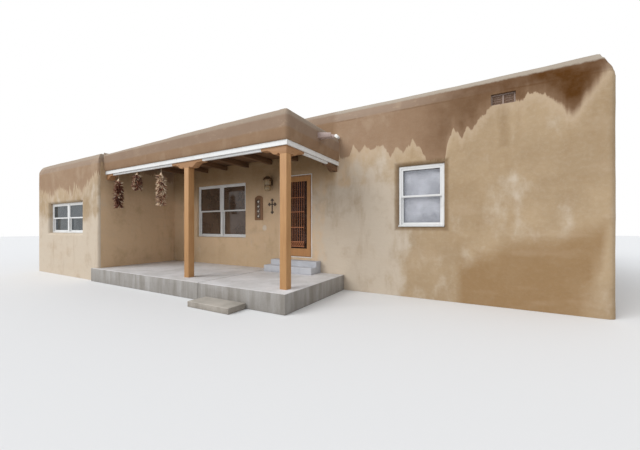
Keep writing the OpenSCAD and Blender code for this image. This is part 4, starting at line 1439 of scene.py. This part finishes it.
@dataclass
class WallFittings:
    """Lantern, number board, cross, lamp, vent and spouts on the walls.

    The lantern's outlines are pairs of shares of its radius and its height.
    """

    cap: Line = ((0.0, 0.655), (0.75, 0.655), (0.9, 0.665), (0.97, 0.68), (1.0, 0.705), (0.995, 0.74), (0.94, 0.81),
                 (0.85, 0.862), (0.72, 0.912), (0.5, 0.955), (0.25, 0.985), (0.1, 0.995), (0.0, 1.0))
    band: Line = ((0.0, 0.31), (0.71, 0.31), (0.77, 0.325), (0.78, 0.35), (0.77, 0.375), (0.71, 0.39), (0.0, 0.39))
    foot: Line = ((0.0, 0.0), (0.38, 0.0), (0.46, 0.008), (0.5, 0.022), (0.46, 0.03), (0.0, 0.03))
    jar: Line = ((0.0, 0.012), (0.42, 0.012), (0.55, 0.02), (0.64, 0.045), (0.71, 0.09), (0.75, 0.14), (0.76, 0.2),
                 (0.745, 0.26), (0.71, 0.31), (0.69, 0.35), (0.71, 0.39), (0.735, 0.43), (0.75, 0.5), (0.75, 0.658),
                 (0.0, 0.66))
    ribs: int = 4
    plate_half: float = 0.045
    tiles: int = 4
    tile_share: float = 0.46
    stud_half: float = 0.023
    vent_rim: float = 0.022
    vent_bulge: float = 0.006

    def build(self, finishes: "Finishes") -> None:
        """Dress every fitting.

        Args:
            finishes: the finishes of the house.
        """
        self.lantern(finishes)
        self.board(finishes)
        renew("wall_cross", "wall_cross_iron", finishes.iron, "dark_iron", 0.003)
        renew("floodlight", "floodlight_housing", finishes.plastic, "lamp_plastic", 0.003, angle=30.0)
        renew("wall_vent", "wall_vent_sheet", finishes.vent, "spout_metal", 0.0015, 1)
        self.vent_screen(finishes)
        for node in ("porch_spout", "back_spouts"):
            renew(node, node + "_sheet", finishes.metal, "spout_metal", 0.003)

    def lantern(self, finishes: "Finishes") -> None:
        """Model the lantern: domed cap, waisted glass jar with a band, foot, arm and wall plate.

        Args:
            finishes: the finishes of the house.
        """
        start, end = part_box("wall_lantern")
        r = (end.x - start.x) / 2
        h = end.z - start.z
        x, y = (start.x + end.x) / 2, start.y + r

        def part(name: str, outline: Line, steps: int = 40) -> Object:
            """Turn a part of the lantern from its outline."""
            return turned(name, [(across * r, up * h) for across, up in outline], (x, y, start.z), steps)

        parts = [part("cap", self.cap), part("band", self.band), part("foot", self.foot, 32)]
        arm_z = start.z + 0.57 * h
        parts.append(rod("arm", (x, y, arm_z), (x, end.y, arm_z), 0.009, 12))
        plate = block("plate", (x - self.plate_half, end.y - 0.012, start.z + 0.4 * h),
                      (x + self.plate_half, end.y, start.z + 0.8 * h))
        parts.append(soften(plate, 0.004))
        for index in range(self.ribs):
            angle = math.tau * (index + 0.5) / self.ribs
            out = Vector((math.cos(angle), math.sin(angle), 0.0)) * (0.745 * r)
            foot = Vector((x, y, start.z)) + out + Vector((0.0, 0.0, 0.40 * h))
            parts.append(rod("rib", foot, foot + Vector((0.0, 0.0, 0.27 * h)), 0.003, 8))
        dress(smooth(join(parts, "lantern_ironwork")), finishes.bronze, HOUSE, "dark_iron", "wall_lantern")
        dress(part("lantern_jar", self.jar), finishes.amber, HOUSE, "dark_iron", "wall_lantern")

    def board(self, finishes: "Finishes") -> None:
        """Model the arched board with its raised border and four plain glazed tiles.

        Args:
            finishes: the finishes of the house.
        """
        start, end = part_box("number_plaque")
        renew("number_plaque", "number_board", finishes.plaque, "plaque_wood", 0.003)
        pitch = self.tile_share * (end.x - start.x)
        tile = pitch - 0.006
        middle = (start.x + end.x) / 2
        half = self.stud_half
        tiles, studs = [], []
        for index in range(self.tiles):
            z = start.z + 0.045 + index * (pitch + 0.008) + 0.003
            face = block("tile", (middle - tile / 2, start.y - 0.003, z),
                         (middle + tile / 2, start.y + 0.006, z + tile))
            tiles.append(soften(face, 0.002))
            stud = soften(block("stud", (-half, -0.004, -half), (half, 0.004, half)), 0.003, 3)
            stud.location = (middle, start.y - 0.005, z + tile / 2)
            stud.rotation_euler = (0.0, math.radians(45.0), 0.0)
            studs.append(settle(stud))
        for pieces, name, finish in ((tiles, "board_tiles", finishes.tile), (studs, "board_studs", finishes.stud)):
            dress(smooth(join(pieces, name)), finish, HOUSE, "plaque_wood", "number_plaque")

    def vent_screen(self, finishes: "Finishes") -> None:
        """Set two panels of fine mesh in the rim of the vent, before its blades.

        Args:
            finishes: the finishes of the house.
        """
        start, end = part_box("wall_vent")
        rim = self.vent_rim
        middle = (start.x + end.x) / 2
        panels = []
        for left, right in ((start.x + rim, middle - rim / 2), (middle + rim / 2, end.x - rim)):
            panel = block("panel", (left, start.y + 0.001, start.z + rim), (right, start.y + 0.003, end.z - rim))
            with editing(panel):
                bpy.ops.mesh.subdivide(number_cuts=6)
            for vertex in panel.data.vertices:
                across, up = (vertex.co.x - left) / (right - left), (vertex.co.z - start.z) / (end.z - start.z)
                vertex.co.y += self.vent_bulge * math.sin(math.pi * across) * math.sin(math.pi * up)
            panels.append(panel)
        dress(smooth(join(panels, "vent_mesh")), finishes.mesh, HOUSE, "spout_metal", "wall_vent")


@dataclass
class ChilliStrings:
    """Three strings of dried chillies hanging under the front beam."""

    length: float = 0.12
    radius: float = 0.0175
    kinds: int = 5
    rings: int = 6
    tier: float = 0.027
    per_tier: int = 12
    # Each string gives its node, the height of its pods and the share of pale pods, partly bleaching and partly painted
    # highlights.
    strings: tuple[tuple[str, float, float], ...] = (("ristra_left", 0.78, 0.15), ("ristra_middle", 0.45, 0.25),
                                                     ("ristra_right", 0.78, 0.72))
    seed: int = 11

    def build(self, finishes: "Finishes") -> None:
        """Tie and dress the three strings.

        Args:
            finishes: the finishes of the house.
        """
        self.draw = random.Random(self.seed)
        patterns = [self.pod(index) for index in range(self.kinds)]
        for node, height, bleach_and_highlight in self.strings:
            self.string(node, height, bleach_and_highlight, patterns, finishes)
        for pattern in patterns:
            bpy.data.objects.remove(pattern)

    def pod(self, index: int) -> Object:
        """Return one curved, tapered pod that hangs from the origin.

        Args:
            index: number of the kind.

        Returns:
            The pod.
        """
        bend = 0.02 + 0.012 * index
        bpy.ops.object.select_all(action="DESELECT")
        bpy.ops.mesh.primitive_cylinder_add(vertices=6, radius=self.radius, depth=self.length,
                                            location=(0.0, 0.0, -self.length / 2))
        pod = settle(bpy.context.object)
        with editing(pod):
            for step in range(1, self.rings):
                bpy.ops.mesh.select_all(action="SELECT")
                bpy.ops.mesh.bisect(plane_co=(0.0, 0.0, -self.length * step / self.rings), plane_no=(0.0, 0.0, 1.0))
        for vertex in pod.data.vertices:
            share = -vertex.co.z / self.length
            taper = 0.45 + 1.1 * share if share < 0.3 else 0.78 * (1.0 - ((share - 0.3) / 0.7) ** 1.6) + 0.04
            squeeze = 1.0 + 0.22 * math.sin(7.0 * share + index)
            vertex.co.x = vertex.co.x * taper * squeeze + bend * share * share
            vertex.co.y *= taper / squeeze
        return smooth(pod, 70.0)

    def string(self, node: str, height: float, bleach_and_highlight: float, patterns: Sequence[Object],
               finishes: "Finishes") -> None:
        """Hang tiers of pods round one wire, with a tuft of stalks at its top.

        Args:
            node: the node of the frame that the string stands for.
            height: height of its pods, from the lowest tip to the tuft.
            bleach_and_highlight: share of its pods that are pale, partly from bleaching and partly as painted
                highlights.
            patterns: the kinds of pod.
            finishes: the finishes of the house.
        """
        start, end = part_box(node)
        x, y = (start.x + end.x) / 2, (start.y + end.y) / 2
        reach = (end.x - start.x) / 2
        body_top = start.z + height
        tiers = int((body_top - start.z - 0.05) / self.tier)
        wire = rod("wire", (x, y, end.z), (x, y, start.z + 0.08), 0.004, 8)
        tuft = turned("tuft", [(0.0, -0.03), (0.035, -0.02), (0.03, 0.01), (0.014, 0.035), (0.008, 0.06), (0.0, 0.062)],
                      (x, y, body_top), 10)
        parts = [self.toned(wire, 0.9), self.toned(tuft, 0.85)]
        for tier in range(tiers):
            share = tier / max(1, tiers - 1)
            spread = reach * (0.52 + 0.47 * math.sin(math.pi * min(1.0, 0.13 + 0.72 * share)))
            for turn in range(self.per_tier):
                pod = self.hang(patterns, Vector((x, y, body_top - 0.004 - tier * self.tier)), spread,
                                math.tau * (turn + 0.5 * (tier % 2)) / self.per_tier, start.z)
                light = self.draw.random() < bleach_and_highlight
                parts.append(self.toned(pod, self.draw.uniform(0.68, 1.0) if light else self.draw.uniform(0.0, 0.56)))
        dress(join(parts, node + "_pods"), finishes.chilli, HOUSE, "dried_chilli", node)

    @staticmethod
    def toned(piece: Object, tone: float) -> Object:
        """Store the tone of a piece on its mesh and return it."""
        return note(piece, "tone", [tone] * len(piece.data.vertices))

    def hang(self, patterns: Sequence[Object], knot: Vector, spread: float, angle: float,
             floor: float) -> Object:
        """Hang one pod from a knot on the wire.

        Args:
            patterns: the kinds of pod.
            knot: where it is tied to the wire.
            spread: how far out the tier reaches.
            angle: its direction round the wire.
            floor: the height that no pod hangs below.

        Returns:
            The pod.
        """
        pod = add("pod", self.draw.choice(patterns).data.copy())
        size = self.draw.uniform(0.78, 1.08)
        angle += self.draw.uniform(-0.22, 0.22)
        lean = self.draw.uniform(0.3, 1.2)
        reach = spread - 0.02
        out = Vector((math.cos(angle), math.sin(angle), 0.0))
        length = self.length * size
        root = knot + out * max(0.012, reach - length * math.sin(lean)) * self.draw.uniform(0.55, 1.0)
        root.z -= self.draw.uniform(0.0, 0.02)
        root.z = max(root.z, floor + length * math.cos(lean) + 0.012)
        turn = Matrix.Rotation(angle, 4, "Z") @ Matrix.Rotation(-lean, 4, "Y")
        roll = Matrix.Rotation(self.draw.uniform(-0.6, 0.6), 4, "Z")
        pod.data.transform(Matrix.Translation(root) @ turn @ roll @ Matrix.Scale(size, 4))
        return pod


def made(kind: Callable[..., object], *values: object) -> Material:
    """Return a field that builds a finish of a kind from its values."""
    return field(default_factory=lambda: kind(*values).build())


@dataclass
class Finishes:
    """The finishes of the house, made once."""

    plaster: Material = made(MudPlaster)
    # The last number of each concrete is how far its upright sides darken, partly as painted shade.
    slab: Material = made(CastConcrete, "porch_concrete", (0.72, 0.705, 0.71), (0.59, 0.575, 0.565),
                          (0.20, 0.18, 0.155), 1.04)
    steps: Material = made(CastConcrete, "step_concrete", (0.51, 0.52, 0.555), (0.43, 0.44, 0.475),
                           (0.27, 0.25, 0.23), 0.2)
    block: Material = made(CastConcrete, "block_concrete", (0.47, 0.43, 0.375), (0.35, 0.32, 0.275),
                           (0.16, 0.13, 0.10), 0.5)
    cedar: dict[Axis, Material] = field(default_factory=lambda: {
        axis: SawnTimber(f"cedar_{axis.name.lower()}", axis, light, (0.33, 0.155, 0.055)).build()
        for axis, light in zip(Axis, ((0.37, 0.195, 0.09), (0.51, 0.275, 0.115), (0.465, 0.25, 0.10)))})
    beam: dict[Axis, Material] = field(default_factory=lambda: {
        axis: SawnTimber(f"dark_beam_{axis.name.lower()}", axis, (0.17, 0.085, 0.038), (0.065, 0.032, 0.014)).build()
        for axis in Axis})
    board: Material = made(Painted, "white_board_paint", (0.74, 0.74, 0.73), (0.45, 0.40, 0.34), 0.25)
    vinyl: Material = made(Painted, "white_vinyl", (0.72, 0.72, 0.71), (0.42, 0.38, 0.33), 0.3, 0.35)
    # The wing and rear glass are dark over much of their area, painted shade for the dim rooms behind.
    glass: Material = made(WindowGlass)
    clear_glass: Material = made(WindowGlass, "clear_glass", (0.30, 0.31, 0.34), 0.06, 0.4)
    # The porch glass's brown tint over most of it is a painted reflection of the porch ceiling.
    porch_glass: Material = made(WindowGlass, "porch_glass", (0.115, 0.075, 0.052), 0.75)
    door: Material = made(Painted, "red_door_paint", (0.05, 0.014, 0.008), (0.025, 0.008, 0.005), 0.4, 0.5)
    door_trim: Material = made(TwoTone, "door_trim", (0.36, 0.185, 0.075), (0.78, 0.77, 0.75), "door_frame", -0.018)
    screen_wood: Material = made(TwoTone, "screen_wood", (0.44, 0.15, 0.052), (0.44, 0.205, 0.065),
                                 "screen_door_glass", -0.004)
    iron: Material = made(Painted, "dark_ironwork", (0.085, 0.06, 0.045), (0.16, 0.11, 0.08), 0.4, 0.4, 0.3, 0.6)
    metal: Material = made(Painted, "spout_sheet", (0.42, 0.32, 0.29), (0.23, 0.16, 0.12), 0.5, 0.5, 0.2)
    vent: Material = made(Painted, "vent_sheet", (0.30, 0.225, 0.19), (0.12, 0.08, 0.06), 0.7, 0.6, 0.2)
    mesh: Material = made(InsectMesh)
    bronze: Material = made(Painted, "aged_bronze", (0.19, 0.12, 0.065), (0.07, 0.042, 0.025), 0.5, 0.3, 0.3, 0.7)
    plastic: Material = made(Painted, "lamp_plastic", (0.80, 0.80, 0.78), (0.5, 0.47, 0.4), 0.2, 0.3)
    plaque: Material = made(SawnTimber, "plaque_board", Axis.Z, (0.27, 0.135, 0.06), (0.12, 0.06, 0.03))
    chilli: Material = made(ChilliSkin)
    gravel: Material = made(RoofGravel)
    shade: Material = made(Painted, "shade_cloth", (0.62, 0.63, 0.68), (0.45, 0.45, 0.50), 0.3, 0.8)
    screen_glass: Material = made(WindowGlass, "storm_glass", (0.06, 0.03, 0.015), 0.08, 0.05)
    amber: Material = made(Painted, "amber_glass", (0.33, 0.235, 0.125), (0.13, 0.09, 0.055), 0.6, 0.2, 0.3)
    tile: Material = made(Painted, "glazed_tile", (0.11, 0.062, 0.036), (0.05, 0.03, 0.02), 0.4, 0.2, 0.2)
    stud: Material = made(Painted, "glazed_stud", (0.66, 0.60, 0.50), (0.35, 0.25, 0.16), 0.4, 0.15)


@dataclass
class Studio:
    """Camera, lamps and floor."""

    eye: Point = (5.62, -9.5505, 1.45)
    turn: float = 29.254
    lens: float = 16.62
    shift: float = 0.0037
    floor_size: float = 120.0
    floor_white: float = 0.78
    bounce: float = 0.68

    def build(self) -> None:
        """Set up the whole studio."""
        self.camera()
        self.lamps()
        self.world()
        self.floor()
        bpy.context.scene.view_settings.view_transform = "Standard"

    def camera(self) -> None:
        """Stand the camera where the photograph was taken."""
        data = bpy.data.cameras.new("view")
        data.lens = self.lens
        data.sensor_width = 36.0
        data.shift_y = self.shift
        data.clip_end = 200.0
        eye = add("view", data)
        eye.location = self.eye
        eye.rotation_euler = (math.radians(90.0), 0.0, math.radians(self.turn))
        bpy.context.scene.camera = eye

    @staticmethod
    def lamps() -> None:
        """Add a wide key light high on the left and a fill on the right."""
        for name, energy, turn, spread in (("key", 2.0, (55.0, 0.0, -32.0), 40.0),
                                           ("fill", 0.18, (60.0, 0.0, 55.0), 60.0)):
            data = bpy.data.lights.new(name, "SUN")
            data.energy = energy
            data.angle = math.radians(spread)
            add(name, data).rotation_euler = [math.radians(angle) for angle in turn]

    @staticmethod
    def world() -> None:
        """Light the house from all round, with a white background for the eye, for gloss and for glass."""
        world = bpy.data.worlds.new("sky")
        bpy.context.scene.world = world
        sheet = NodeSheet("sky", world)
        eye, gloss, glass = (sheet.out("LightPath", output=f"Is {kind} Ray")
                             for kind in ("Camera", "Glossy", "Transmission"))
        seen = eye.math("MAXIMUM", gloss).math("MAXIMUM", glass)
        light = sheet.out("Background", None, {"Color": (0.93, 0.96, 1.0), "Strength": 0.72})
        white = sheet.out("Background", None, {"Color": (1.0, 1.0, 1.0)})
        sheet.node("OutputWorld", None, {"Surface": sheet.out("MixShader", None, {0: seen, 1: light, 2: white})})

    def floor(self) -> None:
        """Lay a plain pale floor at ground level."""
        bpy.ops.object.select_all(action="DESELECT")
        bpy.ops.mesh.primitive_plane_add(size=self.floor_size, location=(0.0, 0.0, -0.002))
        plane = bpy.context.object
        plane.name = "studio_floor"
        sheet = NodeSheet("studio_floor")
        seen = sheet.out("LightPath", output="Is Camera Ray")
        colour = sheet.mix(seen, (self.bounce,) * 3, (self.floor_white,) * 3)
        plane.data.materials.append(sheet.surface({"Base Color": colour, "Roughness": 0.9}))


def main() -> None:
    """Build the studio and dress the house."""
    logging.basicConfig(level=logging.INFO, format="%(name)s %(message)s")
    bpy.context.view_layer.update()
    Studio().build()
    finishes = Finishes()
    for node, finish in (("main_floor", finishes.slab), ("wing_floor", finishes.slab),
                         ("main_roof", finishes.gravel), ("wing_roof", finishes.gravel),
                         ("main_ceiling", finishes.beam[Axis.Y]), ("porch_fascia", finishes.board),
                         ("wing_header_beam", finishes.beam[Axis.X])):
        repaint(node, finish)
    PlasterShell().build(finishes.plaster)
    TimberPorch().build(finishes)
    Groundwork().build(finishes)
    WindowJoinery().build(finishes)
    FrontDoor().build(finishes)
    WallFittings().build(finishes)
    ChilliStrings().build(finishes)


if __name__ == "__main__":
    main()
